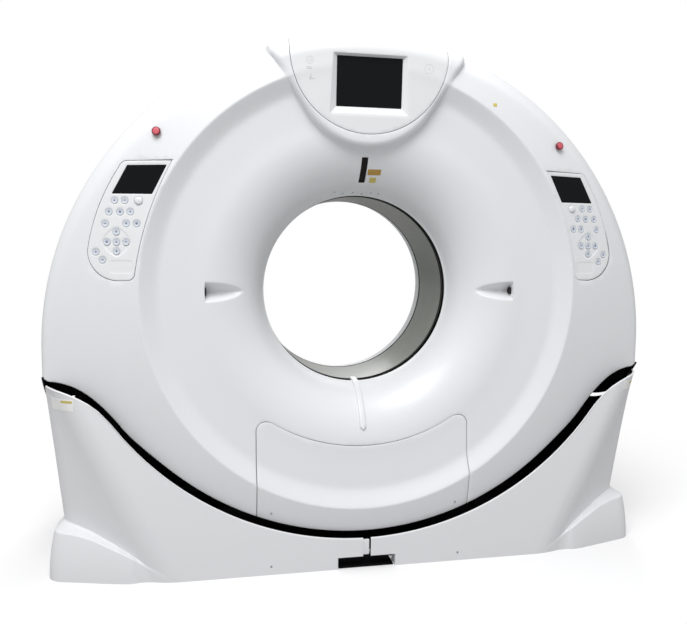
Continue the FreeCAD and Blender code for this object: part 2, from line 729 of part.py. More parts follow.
# ---------------------------------------------------------------- frame
BEAM_FRONT = 385.0
BEAM_BACK = 305.0
BEAM_HEIGHT = 60.0
ANCHOR_X = HALF_WIDTH - 255.0
ANCHOR_Y = 240.0
ANCHOR_RADIUS = 11.0


def upright():
    """Closed post that widens below the swing of the housing."""
    low = 330.0 * SHARE
    waist = 520.0 * SHARE
    top = AXIS_HEIGHT + 110.0
    points = [(-270, PLATE_THICK), (270, PLATE_THICK), (270, low), (UPRIGHT_HALF, waist), (UPRIGHT_HALF, top),
              (-UPRIGHT_HALF, top), (-UPRIGHT_HALF, waist), (-270, low)]
    wire = Part.makePolygon([V(UPRIGHT_INNER, y, z) for y, z in points + points[:1]])
    post = Part.Face(wire).extrude(V(UPRIGHT_OUTER - UPRIGHT_INNER, 0, 0))
    seat = block(UPRIGHT_INNER - 5, UPRIGHT_OUTER + 5, -75, 75, AXIS_HEIGHT - 75, AXIS_HEIGHT + 75)
    return post.cut(seat)


def base_frame():
    ridge = RIDGE_FLOOR - 29.0
    side = SIDE_FLOOR - 21.0
    points = [(-ridge, -BASE_FRONT + 14), (ridge, -BASE_FRONT + 14), (side, -285), (side, 285), (ridge, BASE_FRONT - 14),
              (-ridge, BASE_FRONT - 14), (-side, 285), (-side, -285)]
    wire = Part.makePolygon([V(x, y, 0) for x, y in points + points[:1]])
    plate = Part.Face(wire).extrude(V(0, 0, PLATE_THICK))
    plate = plate.cut(block(-NOTCH_HALF - 12, NOTCH_HALF + 12, -600, -BEAM_FRONT - 5, -1, 50))
    plate = plate.cut(block(70 - ridge, ridge - 70, -260, 260, -1, 50))
    for x in (-ANCHOR_X, ANCHOR_X):
        for y in (-ANCHOR_Y, ANCHOR_Y):
            plate = plate.cut(rod(V(x, y, -1), V(0, 0, 1), ANCHOR_RADIUS, 40))
    beam = block(-ridge - 110, ridge + 110, -BEAM_FRONT, -BEAM_BACK, PLATE_THICK, BEAM_HEIGHT)
    bracket = block(480, 520, -BASE_FRONT + BASE_WALL, -BEAM_FRONT, PLATE_THICK, BEAM_HEIGHT)
    front = fused([beam, bracket, mirrored(bracket)])
    posts = upright()
    height = AXIS_HEIGHT - pinion_drop()
    shaft_hole = block(UPRIGHT_INNER - 5, UPRIGHT_OUTER + 5, -30, 30, height - 30, height + 30)
    return fused([plate, front, mirrored_back(front), posts.cut(shaft_hole), mirrored(posts)])


def pivot_bearings():
    """Square flanged bearing units on the outside of the uprights."""
    unit = block(UPRIGHT_OUTER - 40, UPRIGHT_OUTER, -75, 75, AXIS_HEIGHT - 75, AXIS_HEIGHT + 75)
    flange = block(UPRIGHT_OUTER, UPRIGHT_OUTER + 16, -105, 105, AXIS_HEIGHT - 105, AXIS_HEIGHT + 105)
    hole = rod(V(UPRIGHT_INNER - 5, 0, AXIS_HEIGHT), V(1, 0, 0), TRUNNION_RADIUS + TRUNNION_FIT, 120.0)
    right = fused([unit, flange]).cut(hole)
    return Part.makeCompound([right, mirrored(right)])


def pinion_drop():
    """Distance of the pinion's axis below the tilt axis."""
    return GEAR_MODULE * (SECTOR_TEETH_FULL + PINION_TEETH) / 2


def tooth_flank(teeth):
    """Half tooth as (radius, half angle) pairs from root to tip."""
    pitch = GEAR_MODULE * teeth / 2
    pressure = math.radians(20)
    base = pitch * math.cos(pressure)
    root = pitch - 1.25 * GEAR_MODULE
    tip = pitch + GEAR_MODULE * 0.95
    half_pitch = math.pi / (2 * teeth) - GEAR_BACKLASH / (4 * pitch)
    inv = math.tan(pressure) - pressure
    points = []
    start = max(base, root)
    if root < base:
        points.append((root, half_pitch + inv))
    for radius in [(start + tip) / 2, tip] if root < base else [root, tip]:
        roll = math.sqrt(max((radius / base) ** 2 - 1, 0.0))
        points.append((radius, half_pitch + inv - (roll - math.atan(roll))))
    return points


def tooth_points(teeth, centre_angle):
    flank = tooth_flank(teeth)
    rising = [(r, centre_angle - a) for r, a in flank]
    falling = [(r, centre_angle + a) for r, a in flank[::-1]]
    return rising + falling


def pinion():
    """Drive pinion with its shaft, in mesh with the toothed sector above it."""
    height = AXIS_HEIGHT - pinion_drop()
    polar = []
    for k in range(PINION_TEETH):
        polar += tooth_points(PINION_TEETH, math.pi / 2 + 2 * math.pi * k / PINION_TEETH)
    corners = [V(GEAR_INNER, r * math.cos(a), height + r * math.sin(a)) for r, a in polar]
    wheel = Part.Face(Part.makePolygon(corners + corners[:1])).extrude(V(GEAR_OUTER - GEAR_INNER, 0, 0))
    shaft = rod(V(GEAR_OUTER, 0, height), V(1, 0, 0), SHAFT_RADIUS, UPRIGHT_OUTER + 10 - GEAR_OUTER)
    return fused([wheel, shaft])


def toothed_sector():
    """Sector on the tilting frame, teeth outwards, centred below the tilt axis."""
    polar = []
    pitch_angle = 2 * math.pi / SECTOR_TEETH_FULL
    first = -math.pi / 2 - pitch_angle * (SECTOR_TEETH_CUT / 2)
    for k in range(SECTOR_TEETH_CUT + 1):
        polar += tooth_points(SECTOR_TEETH_FULL, first + pitch_angle * k)
    inner = 230.0
    last_angle = polar[-1][1]
    polar += [(inner, last_angle), (inner, polar[0][1])]
    corners = [V(GEAR_INNER - 2, r * math.cos(a), AXIS_HEIGHT + r * math.sin(a)) for r, a in polar]
    return Part.Face(Part.makePolygon(corners + corners[:1])).extrude(V(GEAR_OUTER - GEAR_INNER + 2, 0, 0))


def tilt_gearmotor():
    """Right-angle gearbox on the outside of the right upright, with its motor behind it."""
    height = AXIS_HEIGHT - pinion_drop()
    box = block(UPRIGHT_OUTER, UPRIGHT_OUTER + 70, -70, 70, height - 75, height + 60)
    box = box.cut(rod(V(UPRIGHT_OUTER - 5, 0, height), V(1, 0, 0), SHAFT_RADIUS + TRUNNION_FIT, 16.5))
    corners = [V(UPRIGHT_OUTER + 38 + 34 * math.cos(a), 70, height + 34 * math.sin(a))
               for a in [math.pi * (2 * k + 1) / 8 for k in range(8)]]
    motor = flat_face(corners).extrude(V(0, 120, 0))
    return fused([box, motor])


def arm():
    """Side arm of the tilting frame, from the rear plate forward past the tilt axis."""
    points = [(-130, 170), (FRAME_REAR, 230), (FRAME_REAR, -230), (60, -240), (-60, -240), (-130, -170)]
    wire = Part.makePolygon([V(ARM_INNER, y, AXIS_HEIGHT + z) for y, z in points + points[:1]])
    plate = Part.Face(wire).extrude(V(ARM_OUTER - ARM_INNER, 0, 0))
    trunnion = rod(V(ARM_OUTER, 0, AXIS_HEIGHT), V(1, 0, 0), TRUNNION_RADIUS, UPRIGHT_OUTER + 12 - ARM_OUTER)
    collar = block(ARM_OUTER, UPRIGHT_INNER - 4, -90, 90, AXIS_HEIGHT - 90, AXIS_HEIGHT + 90)
    return fused([plate, trunnion, collar])


def cover_bracket():
    """Block that carries the rear cover, from the frame's plate back to the cover's inner face."""
    start, end = REAR_MOUTH[-1], REAR_STEPS[0]
    corners = [(FUNNEL_RADIUS + 40.0, FRAME_REAR - 2.0), (CREST_RADIUS - 85.0, FRAME_REAR - 2.0)]
    for reach in (CREST_RADIUS - 85.0, FUNNEL_RADIUS + 40.0):
        share = (reach - FORM_WALL - start[0]) / (end[0] - start[0])
        corners.append((reach, start[1] + (end[1] - start[1]) * share - FORM_DEPTH - BRACKET_FIT))
    return flat_face([V(x, y, AXIS_HEIGHT - 40.0) for x, y in corners]).extrude(V(0, 0, 80.0))


def tilt_frame():
    plate = faceted([(FRAME_RADIUS, FRAME_REAR - FRAME_PLATE), (FRAME_RADIUS, FRAME_REAR)], 16)
    hub = faceted([(RACE_RADIUS + 70, 190.0), (RACE_RADIUS + 70, FRAME_REAR - FRAME_PLATE)], 24)
    hole = faceted([(FRAME_HOLE, 150.0), (FRAME_HOLE, FRAME_REAR + 5)], 24)
    wings = block(-ARM_OUTER, ARM_OUTER, FRAME_REAR - FRAME_PLATE, FRAME_REAR, AXIS_HEIGHT - 230, AXIS_HEIGHT + 230)
    right = fused([arm(), wings, cover_bracket()])
    body = fused([plate, hub, right, mirrored(right), toothed_sector()])
    seat = faceted([(RACE_RADIUS + 40.0, 180.0), (RACE_RADIUS + 40.0, 240.0)], 24)
    return body.cut(hole).cut(seat)


def bearing_outer_ring():
    outer = faceted([(RACE_RADIUS + 40.0, 190.0), (RACE_RADIUS + 40.0, 240.0)], 24)
    return outer.cut(faceted([(RACE_RADIUS + RACE_GAP, 185.0), (RACE_RADIUS + RACE_GAP, 245.0)], 48))


# ---------------------------------------------------------------- rotor
def rotor_drum():
    """Rotating drum: a many-sided plate with the inner bearing race behind it."""
    plate = faceted([(ROTOR_RADIUS, ROTOR_FRONT), (ROTOR_RADIUS, ROTOR_BACK)], 24)
    inscribed = RACE_RADIUS * math.cos(math.pi / 48)
    race = faceted([(inscribed, ROTOR_BACK), (inscribed, ROTOR_BACK + 110.0)], 48)
    hole = faceted([(ROTOR_HOLE, ROTOR_FRONT - 5), (ROTOR_HOLE, 260.0)], 24)
    return fused([plate, race]).cut(hole)


def xray_tube():
    """Tube housing above the bore with the collimator under it."""
    round_body = [(105.0 * math.cos(math.pi * k / 8), TUBE_HEIGHT + 105.0 * math.sin(math.pi * k / 8))
                  for k in range(16)]
    body = polygon_prism(round_body, SCAN_PLANE - 150, ROTOR_FRONT)
    collimator = polygon_prism([(-70, TUBE_HEIGHT - 70), (70, TUBE_HEIGHT - 70), (110, TUBE_HEIGHT - 160),
                                (-110, TUBE_HEIGHT - 160)], SCAN_PLANE - 90, SCAN_PLANE + 90)
    foot = block(-90, 90, ROTOR_FRONT - 60, ROTOR_FRONT, TUBE_HEIGHT - 80, TUBE_HEIGHT + 105)
    return fused([body, collimator, foot])


def detector_array():
    """Curved detector below the bore, centred on the tube's focus."""
    modules = 12
    spread = math.radians(52)
    outer = 1230.0 * SHARE
    inner = 1150.0 * SHARE
    points = []
    for k in range(modules + 1):
        turn = -math.pi / 2 - spread / 2 + spread * k / modules
        points.append((outer * math.cos(turn), TUBE_HEIGHT + outer * math.sin(turn)))
    for k in range(modules, -1, -1):
        turn = -math.pi / 2 - spread / 2 + spread * k / modules
        points.append((inner * math.cos(turn), TUBE_HEIGHT + inner * math.sin(turn)))
    return polygon_prism(points, SCAN_PLANE - 100, ROTOR_FRONT)


def high_voltage_unit():
    """Generator tank and its balance weight at the two sides of the drum."""
    tank = polygon_prism(shared([(-725, 1170), (-540, 1260), (-470, 1130), (-505, 930), (-705, 890)]),
                         SCAN_PLANE - 110, ROTOR_FRONT)
    weight = polygon_prism(shared([(725, 1125), (580, 1180), (510, 1030), (545, 900), (710, 890)]),
                           SCAN_PLANE - 80, ROTOR_FRONT)
    return Part.makeCompound([tank, weight])


def slip_ring():
    outer = faceted([(SLIP_OUTER, ROTOR_BACK), (SLIP_OUTER, ROTOR_BACK + 26)], 24)
    return outer.cut(faceted([(SLIP_INNER, ROTOR_BACK - 1), (SLIP_INNER, ROTOR_BACK + 30)], 24))


# ---------------------------------------------------------------- write the parts
def build():
    shell = front_shell()
    base = base_shell()
    parts = {
        "base_frame": base_frame(),
        "left_base_cover": left_base_cover(base),
        "right_base_cover": right_base_cover(base),
        "rear_base_cover": rear_base_cover(base),
        "pivot_bearings": pivot_bearings(),
        "tilt_gearmotor": tilt_gearmotor(),
        "tilt_pinion": pinion(),
        "tilt_frame": tilt_frame(),
        "bearing_outer_ring": bearing_outer_ring(),
        "front_cover": front_cover(shell),
        "rear_cover": rear_cover(),
        "service_panel": service_panel(shell),
        "display_shroud": display_shroud(),
        "display_panel": display_panel(),
        "display_screen": display_screen(),
        "right_control_panel": control_panel(),
        "left_control_panel": mirrored(control_panel()),
        "panel_screens": Part.makeCompound([panel_screen(), mirrored(panel_screen())]),
        "laser_windows": laser_windows(),
        "scan_window": scan_window(),
        "contact_strip": contact_strip(shell),
        "rotor_drum": rotor_drum(),
        "xray_tube": xray_tube(),
        "detector_array": detector_array(),
        "high_voltage_unit": high_voltage_unit(),
        "slip_ring": slip_ring(),
        "right_emergency_stop": emergency_stop(),
        "left_emergency_stop": mirrored(emergency_stop()),
    }
    for number, ((x, z), radius) in enumerate(all_keys(), start=1):
        key = key_prism(x, z, radius, 1.5, KEY_DEPTH)
        parts["right_key_%d" % number] = key
        parts["left_key_%d" % number] = mirrored(key)
    return parts


os.makedirs("parts", exist_ok=True)
for name, shape in build().items():
    shape.exportStep("parts/%s.step" % name)
    print(name, shape.isValid(), len(shape.Solids), round(shape.Volume / 1e6, 3))
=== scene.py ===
import math

import bmesh
import bpy
import numpy as np
from mathutils import Matrix, Vector, geometry


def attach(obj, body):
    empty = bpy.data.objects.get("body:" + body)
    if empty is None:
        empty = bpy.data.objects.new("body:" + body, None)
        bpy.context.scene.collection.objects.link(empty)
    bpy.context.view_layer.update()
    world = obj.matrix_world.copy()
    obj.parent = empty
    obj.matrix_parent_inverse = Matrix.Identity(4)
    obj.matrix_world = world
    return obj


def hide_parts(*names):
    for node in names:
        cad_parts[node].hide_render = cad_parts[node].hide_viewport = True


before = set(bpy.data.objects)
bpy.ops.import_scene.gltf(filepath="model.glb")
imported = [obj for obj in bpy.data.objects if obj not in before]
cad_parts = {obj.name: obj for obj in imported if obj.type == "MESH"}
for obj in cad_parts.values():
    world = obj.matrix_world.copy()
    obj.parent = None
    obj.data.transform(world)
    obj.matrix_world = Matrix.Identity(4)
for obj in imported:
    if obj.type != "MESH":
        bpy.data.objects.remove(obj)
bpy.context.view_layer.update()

# Outlines are in millimetres: x to the right, y to the back, z up, from the floor under the middle.
MM = 0.001
AXIS = 1020.0  # height of the patient axis and of the tilt axis
TOP_CENTRE, HALF = 815.0, 1135.0  # round top: height of its centre, and radius (half of the width)
RIM, MOUTH_END = 360.0, 600.0  # radii of the bore and of the mouth's outer end
MOUTH_WIDE = MOUTH_END - RIM
MOUTH_RIM, MOUTH_DEPTH = -205.0, 210.0  # y of the mouth at the bore, and how far it comes forward
SWEEP_CENTRE, SWEEP = 1215.0, 1077.0  # sweeping lower edge: height of its centre, and radius
BLEND_CENTRE, BLEND = 409.0, 315.0  # the same for its turn towards each side
LEVEL = BLEND_CENTRE + BLEND  # height at which that edge reaches the side
LOBE_R = 485.0  # round lower end of the sides, about the tilt axis
SEAM = 1.1  # half of the dark seam between two mouldings
FINE_SEAM = SEAM * 0.8  # the same round the display and the control panels
LIP, HEM, CROWN = 1.6, 4.5, 12.0  # rounding: moulded edges, sweeping gap, outline of top and sides
WALL = 8.0  # thickness of the mouldings
MEET = -0.35  # y at which the front moulding ends, before the rear one
SEAT_FRONT, SEAT_SIDE = -360.0, 1127.0  # the lower edge reaches back to this y, inwards of this x
BOARD_BACK, TOP_FRONT = -356.0, -353.0  # y where the display panel's wall ends and the top wall starts
DOOR_HALF = 402.0  # half of the service door's width
SHADE_SIDE = 1  # slot of a moulding's inside and edge walls, painted black as shade


# ---- mesh helpers
def place_object(name, data):
    thing = bpy.data.objects.new(name, data)
    bpy.context.scene.collection.objects.link(thing)
    return thing


class Form:
    """Points and faces of one piece, in millimetres."""

    def __init__(self):
        self.points, self.faces, self.slots = [], [], []

    def add(self, points, faces, slot=0):
        start = len(self.points)
        self.points += [tuple(float(c) for c in p) for p in points]
        self.faces += [tuple(int(i) + start for i in f) for f in faces]
        self.slots += [slot] * len(faces)

    def grid(self, rows, round_u=False, round_v=False, caps=False, slot=0):
        """Quads between rows of equally many points."""
        n, m = len(rows), len(rows[0])
        faces = []
        for i in range(n if round_v else n - 1):
            for j in range(m if round_u else m - 1):
                a, b = (i + 1) % n, (j + 1) % m
                faces.append((i * m + j, i * m + b, a * m + b, a * m + j))
        if caps:
            faces += [tuple(range(m - 1, -1, -1)), tuple(range((n - 1) * m, n * m))]
        self.add([p for row in rows for p in row], faces, slot)

    def flipped(self, axis):
        other = Form()
        other.faces, other.slots = [f[::-1] for f in self.faces], list(self.slots)
        other.points = [tuple(-c if k == axis else c for k, c in enumerate(p)) for p in self.points]
        return other

    def join(self, other):
        start = len(self.points)
        self.points += other.points
        self.faces += [tuple(i + start for i in f) for f in other.faces]
        self.slots += other.slots

    def piece(self, name, body, materials, nodes=(), slot=None):
        mesh = bpy.data.meshes.new(name)
        mesh.from_pydata([Vector(p) * MM for p in self.points], [], self.faces)
        mesh.polygons.foreach_set("material_index", self.slots)
        work = bmesh.new()
        work.from_mesh(mesh)
        bmesh.ops.remove_doubles(work, verts=work.verts, dist=8e-6)
        bmesh.ops.recalc_face_normals(work, faces=work.faces)
        work.to_mesh(mesh)
        work.free()
        mesh.polygons.foreach_set("use_smooth", [True] * len(mesh.polygons))
        mesh.set_sharp_from_angle(angle=math.radians(40.0))
        for material in materials:
            mesh.materials.append(material)
        thing = place_object(name, mesh)
        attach(thing, body)
        if nodes:
            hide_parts(*nodes)


def line(a, b, step=10.0):
    n = max(1, round(math.dist(a, b) / step))
    return [(a[0] + (b[0] - a[0]) * k / n, a[1] + (b[1] - a[1]) * k / n) for k in range(n + 1)]


def arc(cx, cz, r, a0, a1, step=10.0):
    n = max(3, round(abs(math.radians(a1 - a0)) * r / step))
    turns = [math.radians(a0 + (a1 - a0) * k / n) for k in range(n + 1)]
    return [(cx + r * math.cos(t), cz + r * math.sin(t)) for t in turns]


def circle(cx, cz, r, step):
    """Closed outline, without its first point again at the end."""
    return arc(cx, cz, r, 0, 360, step)[:-1]


def rect(x0, x1, z0, z1):
    return [(x0, z0), (x1, z0), (x1, z1), (x0, z1)]


def through(a, b, c, step=10.0):
    """Arc from a through b to c."""
    d = 2 * (a[0] * (b[1] - c[1]) + b[0] * (c[1] - a[1]) + c[0] * (a[1] - b[1]))
    sa, sb, sc = (p[0] ** 2 + p[1] ** 2 for p in (a, b, c))
    cx = (sa * (b[1] - c[1]) + sb * (c[1] - a[1]) + sc * (a[1] - b[1])) / d
    cz = (sa * (c[0] - b[0]) + sb * (a[0] - c[0]) + sc * (b[0] - a[0])) / d
    t0, t1, t2 = (math.degrees(math.atan2(p[1] - cz, p[0] - cx)) for p in (a, b, c))
    if d > 0:
        t2 += 360 * math.ceil((t0 - t2) / 360)
    else:
        t2 -= 360 * math.ceil((t2 - t0) / 360)
    return arc(cx, cz, math.dist(a, (cx, cz)), t0, t2, step)


def chain(*parts):
    """One line through several, without repeated points."""
    points = []
    for part in parts:
        for p in part:
            if not points or math.dist(p, points[-1]) > 0.02:
                points.append(p)
    return points


def mirrored(points):
    return [(-p[0],) + tuple(p[1:]) for p in points[::-1]]


def whole(half):
    """Closed outline from its right half."""
    return half + mirrored(half)[1:-1]


def bend(a, corner, b, t):
    """Point of the curve from a to b that a corner draws towards itself."""
    return a * (1 - t) ** 2 + corner * 2 * t * (1 - t) + b * t * t


def softened(corners, radius, step):
    """Closed outline with rounded corners."""
    points, n = [], len(corners)
    for k in range(n):
        a, b, c, after = (Vector(corners[(k + i) % n]) for i in (-1, 0, 1, 2))
        r = min(radius, (a - b).length * 0.45, (c - b).length * 0.45)
        s = min(radius, (c - b).length * 0.45, (after - c).length * 0.45)
        p, q = b + (a - b).normalized() * r, b + (c - b).normalized() * r
        turned = [tuple(bend(p, b, q, t)) for t in np.linspace(0, 1, 5)]
        points = chain(points, turned, line(turned[-1], tuple(c + (b - c).normalized() * s), step)[:-1])
    return points


def inward(points):
    """Mitred normals to the left of a closed line."""
    before, after = points - np.roll(points, 1, 0), np.roll(points, -1, 0) - points
    before = before / np.linalg.norm(before, axis=1)[:, None]
    after = after / np.linalg.norm(after, axis=1)[:, None]
    a, b = (np.stack([-d[:, 1], d[:, 0]], 1) for d in (before, after))
    return (a + b) / np.maximum(1 + (a * b).sum(1), 0.35)[:, None]


def counter(points, clockwise=False):
    """The same outline, anticlockwise or clockwise."""
    p = np.array([q[:2] for q in points])
    area = (p[:, 0] * np.roll(p[:, 1], -1) - np.roll(p[:, 0], -1) * p[:, 1]).sum()
    return list(points) if (area > 0) != clockwise else list(points)[::-1]


def nearest(points, others, grown=0.0):
    """Distance of each point to the nearest of the others, each of which may be grown by a radius."""
    out = np.empty(len(points))
    for k in range(0, len(points), 1500):
        part = points[k:k + 1500, None] - others[None]
        out[k:k + 1500] = (np.sqrt((part ** 2).sum(2)) - grown).min(1)
    return out


def inside(points, loop):
    """Which points lie inside a closed outline."""
    x, z = points.T
    hit = np.zeros(len(points), bool)
    for (x1, z1), (x2, z2) in zip(loop, np.roll(loop, -1, 0)):
        crossed = (z1 > z) != (z2 > z)
        hit[crossed] ^= x[crossed] < (x2 - x1) * (z[crossed] - z1) / (z2 - z1 + 1e-12) + x1
    return hit


def between(points, loops):
    """Which points lie inside the first loop and outside the others."""
    return inside(points, loops[0]) & ~np.any([inside(points, loop) for loop in loops[1:]], axis=0)


def triangles(points, loops, warp):
    """Triangles between the outer loop and the others; the loops come first among the points."""
    flat = warp(points)
    starts = np.cumsum([0] + [len(loop) for loop in loops]).tolist()
    spans = list(zip(starts, starts[1:]))
    edges = [(k, k + 1 if k + 1 < b else a) for a, b in spans for k in range(a, b)]
    result = geometry.delaunay_2d_cdt([Vector(p) for p in flat], edges, [], 1, 1e-5)
    origin = [ids[0] if ids else -1 for ids in result[3]]
    found = np.array([[origin[i] for i in f] for f in result[2]])
    found = found[(found >= 0).all(1)]
    return found[between(flat[found].mean(1), [flat[a:b] for a, b in spans])]


def lattice(lo, hi, step, shift=0.0):
    """Points over a rectangle; every second row may be shifted."""
    x, z = np.meshgrid(np.arange(lo[0], hi[0], step), np.arange(lo[1], hi[1], step))
    x[1::2] += shift
    return np.stack([x.ravel(), z.ravel()], 1)


def raised(plane, depth):
    """Points of the x-z plane, each at its depth."""
    return np.stack([plane[:, 0], depth, plane[:, 1]], 1)


def shell(form, loops, face, free, warp=lambda p: p, thick=WALL, back_step=30.0):
    """Moulded skin over a face, with an inside behind it that is painted black as shade.

    A loop's points are (x, z), a lip, or (x, z, y, radius): a wall back to y behind a rounded edge.
    The free points fill the face where they keep clear of the rounded edges.
    """
    loops = [counter(loop, k > 0) for k, loop in enumerate(loops)]
    flat = [np.array([p[:2] for p in loop]) for loop in loops]
    ends = [np.array([p[2] if len(p) > 2 else np.nan for p in loop]) for loop in loops]
    radii = [np.array([p[3] if len(p) > 3 else LIP for p in loop]) for loop in loops]
    edge = np.concatenate(flat)
    rings, drops = [], []
    for points, radius in zip(flat, radii):
        normal = inward(points)
        for turn in (15, 30, 45, 60, 75, 90):
            size = radius * (1 - math.cos(math.radians(turn)))
            ring = points + normal * size[:, None]
            wanted = (radius > 3) | (turn % 45 == 0)      # small edges do with two rings
            keep = (nearest(ring, edge) > size * 0.96) & wanted
            rings.append(ring[keep])
            drops.append((radius * (1 - math.sin(math.radians(turn))))[keep])
    free = np.asarray(free, float)
    free = free[nearest(free, edge, np.concatenate(radii)) > 3.0]
    free = free[between(free, flat)]
    plane = np.concatenate([edge] + rings + [free])
    drop = np.concatenate(radii + drops + [np.zeros(len(free))])
    depth = face(plane[:, 0], plane[:, 1]) + drop
    form.add(raised(plane, depth), triangles(plane, flat, warp))

    start, rims, levels = 0, [], []
    for points, end in zip(flat, ends):
        wall = ~np.isnan(end)
        near = depth[start:start + len(points)]
        far = np.where(wall, end, face(points[:, 0], points[:, 1]) + thick)
        deep = points + inward(points) * np.where(wall, WALL, 0.0)[:, None]
        last = np.where(wall, face(deep[:, 0], deep[:, 1]) + 15.0, far)
        rows = [raised(points, near), raised(points, far), raised(deep, far), raised(deep, last)]
        form.grid(rows[:2], round_u=True)
        # Painted shade: the wall behind each edge is black.
        form.grid(rows[1:], round_u=True, slot=SHADE_SIDE)
        rims.append(deep)
        levels.append(last)
        start += len(points)

    # The inside lies behind the deepest place of the face within a step, so it never shows through.
    rim = np.concatenate(rims)
    extra = lattice(rim.min(0), rim.max(0), back_step)
    extra = extra[nearest(extra, rim) > back_step * 0.4]
    extra = extra[between(extra, rims)]
    steps = (-back_step, 0, back_step)
    deepest = np.max([face(extra[:, 0] + u, extra[:, 1] + v) for u in steps for v in steps], axis=0)
    plane = np.concatenate([rim, extra])
    depth = np.concatenate(levels + [deepest + thick + 2.0])
    # Painted shade: the whole inside of the skin is black.
    form.add(raised(plane, depth), triangles(plane, rims, warp)[:, ::-1], SHADE_SIDE)


def slab(form, outline, place, low, high, rounding, slot=0):
    """Plate that is rounded along its low face; a fine rim stands round its high one.

    place(u, v, w) puts an outline point at a level between low and high.
    """
    flat = np.array(counter(outline))
    normal = inward(flat)
    rows = []
    for level, way in ((low, 1), (high, -1)):
        for t in np.radians(np.linspace(0, 90, 4)[::-1]):
            inset, rise = rounding * (1 - math.cos(t)), rounding * (1 - math.sin(t))
            rows.append([place(u, v, level + way * rise) for u, v in flat + normal * inset])
    form.grid(rows, round_u=True, caps=True, slot=slot)


def full_turn(count):
    return np.linspace(0, 2 * math.pi, count, endpoint=False)


def lathe(form, profile, centre, axis, sides, slot=0):
    """Turned form about an axis from (radius, height) points; the ends are closed."""
    axis = Vector(axis).normalized()
    side = axis.orthogonal().normalized()
    up = axis.cross(side)
    rows = []
    for radius, height in profile:
        rows.append([Vector(centre) + axis * height + (side * math.cos(a) + up * math.sin(a)) * radius
                     for a in full_turn(sides)])
    form.grid(rows, round_u=True, caps=True, slot=slot)


def smooth(t):
    t = np.clip(t, 0, 1)
    return t * t * (3 - 2 * t)


# ---- materials
def node(tree, kind, **values):
    """New shader node; an underscore in the name of an input stands for a space."""
    made = tree.nodes.new("ShaderNode" + kind)
    for name, value in values.items():
        made.inputs[name.replace("_", " ")].default_value = value
    return made


def colour_mix(tree, **colours):
    """Node that mixes the colours A and B."""
    made = tree.nodes.new("ShaderNodeMix")
    made.data_type = "RGBA"
    for name, colour in colours.items():
        made.inputs[name].default_value = colour
    return made


def link(tree, *wires):
    """Wires, each from a node's output to a node's input."""
    for source, output, target, entry in wires:
        tree.links.new(source.outputs[output], target.inputs[entry])


def material(name, colour, rough, *, metal=0.0, spec=0.5, coat=0.0, tone=0.03, tone_scale=3.0, grain=0.0,
             sheen=0.04):
    """Procedural finish: slow variation of tone, uneven gloss and, where asked for, a fine grain."""
    mat = bpy.data.materials.new(name)
    mat.use_nodes = True
    tree = mat.node_tree
    shader = tree.nodes["Principled BSDF"]
    for entry, value in (("Metallic", metal), ("Specular IOR Level", spec), ("Coat Weight", coat),
                         ("Coat Roughness", 0.12)):
        shader.inputs[entry].default_value = value
    place = node(tree, "TexCoord")
    slow = node(tree, "TexNoise", Scale=tone_scale, Detail=3.0)
    shades = colour_mix(tree, A=[c * (1 - tone) for c in colour] + [1],
                        B=[min(1.0, c * (1 + tone)) for c in colour] + [1])
    gloss = node(tree, "MapRange", To_Min=max(0.02, rough - sheen), To_Max=rough + sheen)
    fine = node(tree, "TexNoise", Scale=tone_scale * 7)
    link(tree, (place, "Object", slow, "Vector"), (slow, "Fac", shades, "Factor"),
         (shades, "Result", shader, "Base Color"), (place, "Object", fine, "Vector"),
         (fine, "Fac", gloss, "Value"), (gloss, "Result", shader, "Roughness"))
    if grain:
        speck = node(tree, "TexNoise", Scale=900.0)
        bump = node(tree, "Bump", Strength=grain, Distance=0.0004)
        link(tree, (place, "Object", speck, "Vector"), (speck, "Fac", bump, "Height"),
             (bump, "Normal", shader, "Normal"))
    return mat


WHITE = material("white_plastic", (0.755, 0.765, 0.785), 0.36, coat=0.1, tone=0.012, tone_scale=1.4,
                 grain=0.05)
BASE_WHITE = material("base_plastic", (0.765, 0.77, 0.79), 0.4, coat=0.08, tone=0.015, tone_scale=1.4,
                      grain=0.05)
PANEL_WHITE = material("panel_plastic", (0.75, 0.76, 0.775), 0.42, tone=0.012, grain=0.1)
# Painted shade: mouldings' insides, the walls of their openings and the dark pieces inside the base are
# black, so gaps and seams read as deep shade.
SHADE_BLACK = material("painted_shade_black", (0.006, 0.006, 0.007), 0.85, spec=0.1, tone=0.2)
GREY_RING = material("ring_film", (0.175, 0.185, 0.16), 0.36, coat=0.1, tone=0.1, tone_scale=2.6)
BLACK = material("black_rubber", (0.012, 0.012, 0.012), 0.55, tone=0.2)
SCREEN = material("screen_glass", (0.005, 0.006, 0.007), 0.14, spec=0.12, tone=0.2, sheen=0.02)
WARM_GLASS = material("laser_glass", (0.012, 0.008, 0.008), 0.3, spec=0.15, tone=0.25, sheen=0.02)
# Dark frame paint, made near black as painted shade where the frame shows through the gap.
DARK_FRAME_SHADE = material("frame_steel", (0.010, 0.010, 0.012), 0.8, spec=0.15, tone=0.12, tone_scale=6)
BEARING = material("bearing_housing", (0.03, 0.032, 0.036), 0.6, tone=0.12)
GEAR = material("gear_steel", (0.3, 0.3, 0.31), 0.35, metal=0.95, tone=0.1, tone_scale=12)
ROTOR = material("rotor_metal", (0.22, 0.225, 0.23), 0.42, metal=0.8, tone=0.08)
TUBE = material("tube_paint", (0.3, 0.31, 0.33), 0.4, tone=0.05)
DETECTOR = material("detector_case", (0.08, 0.085, 0.1), 0.4, tone=0.08)
SLIP = material("slip_ring", (0.06, 0.035, 0.02), 0.45, tone=0.15)
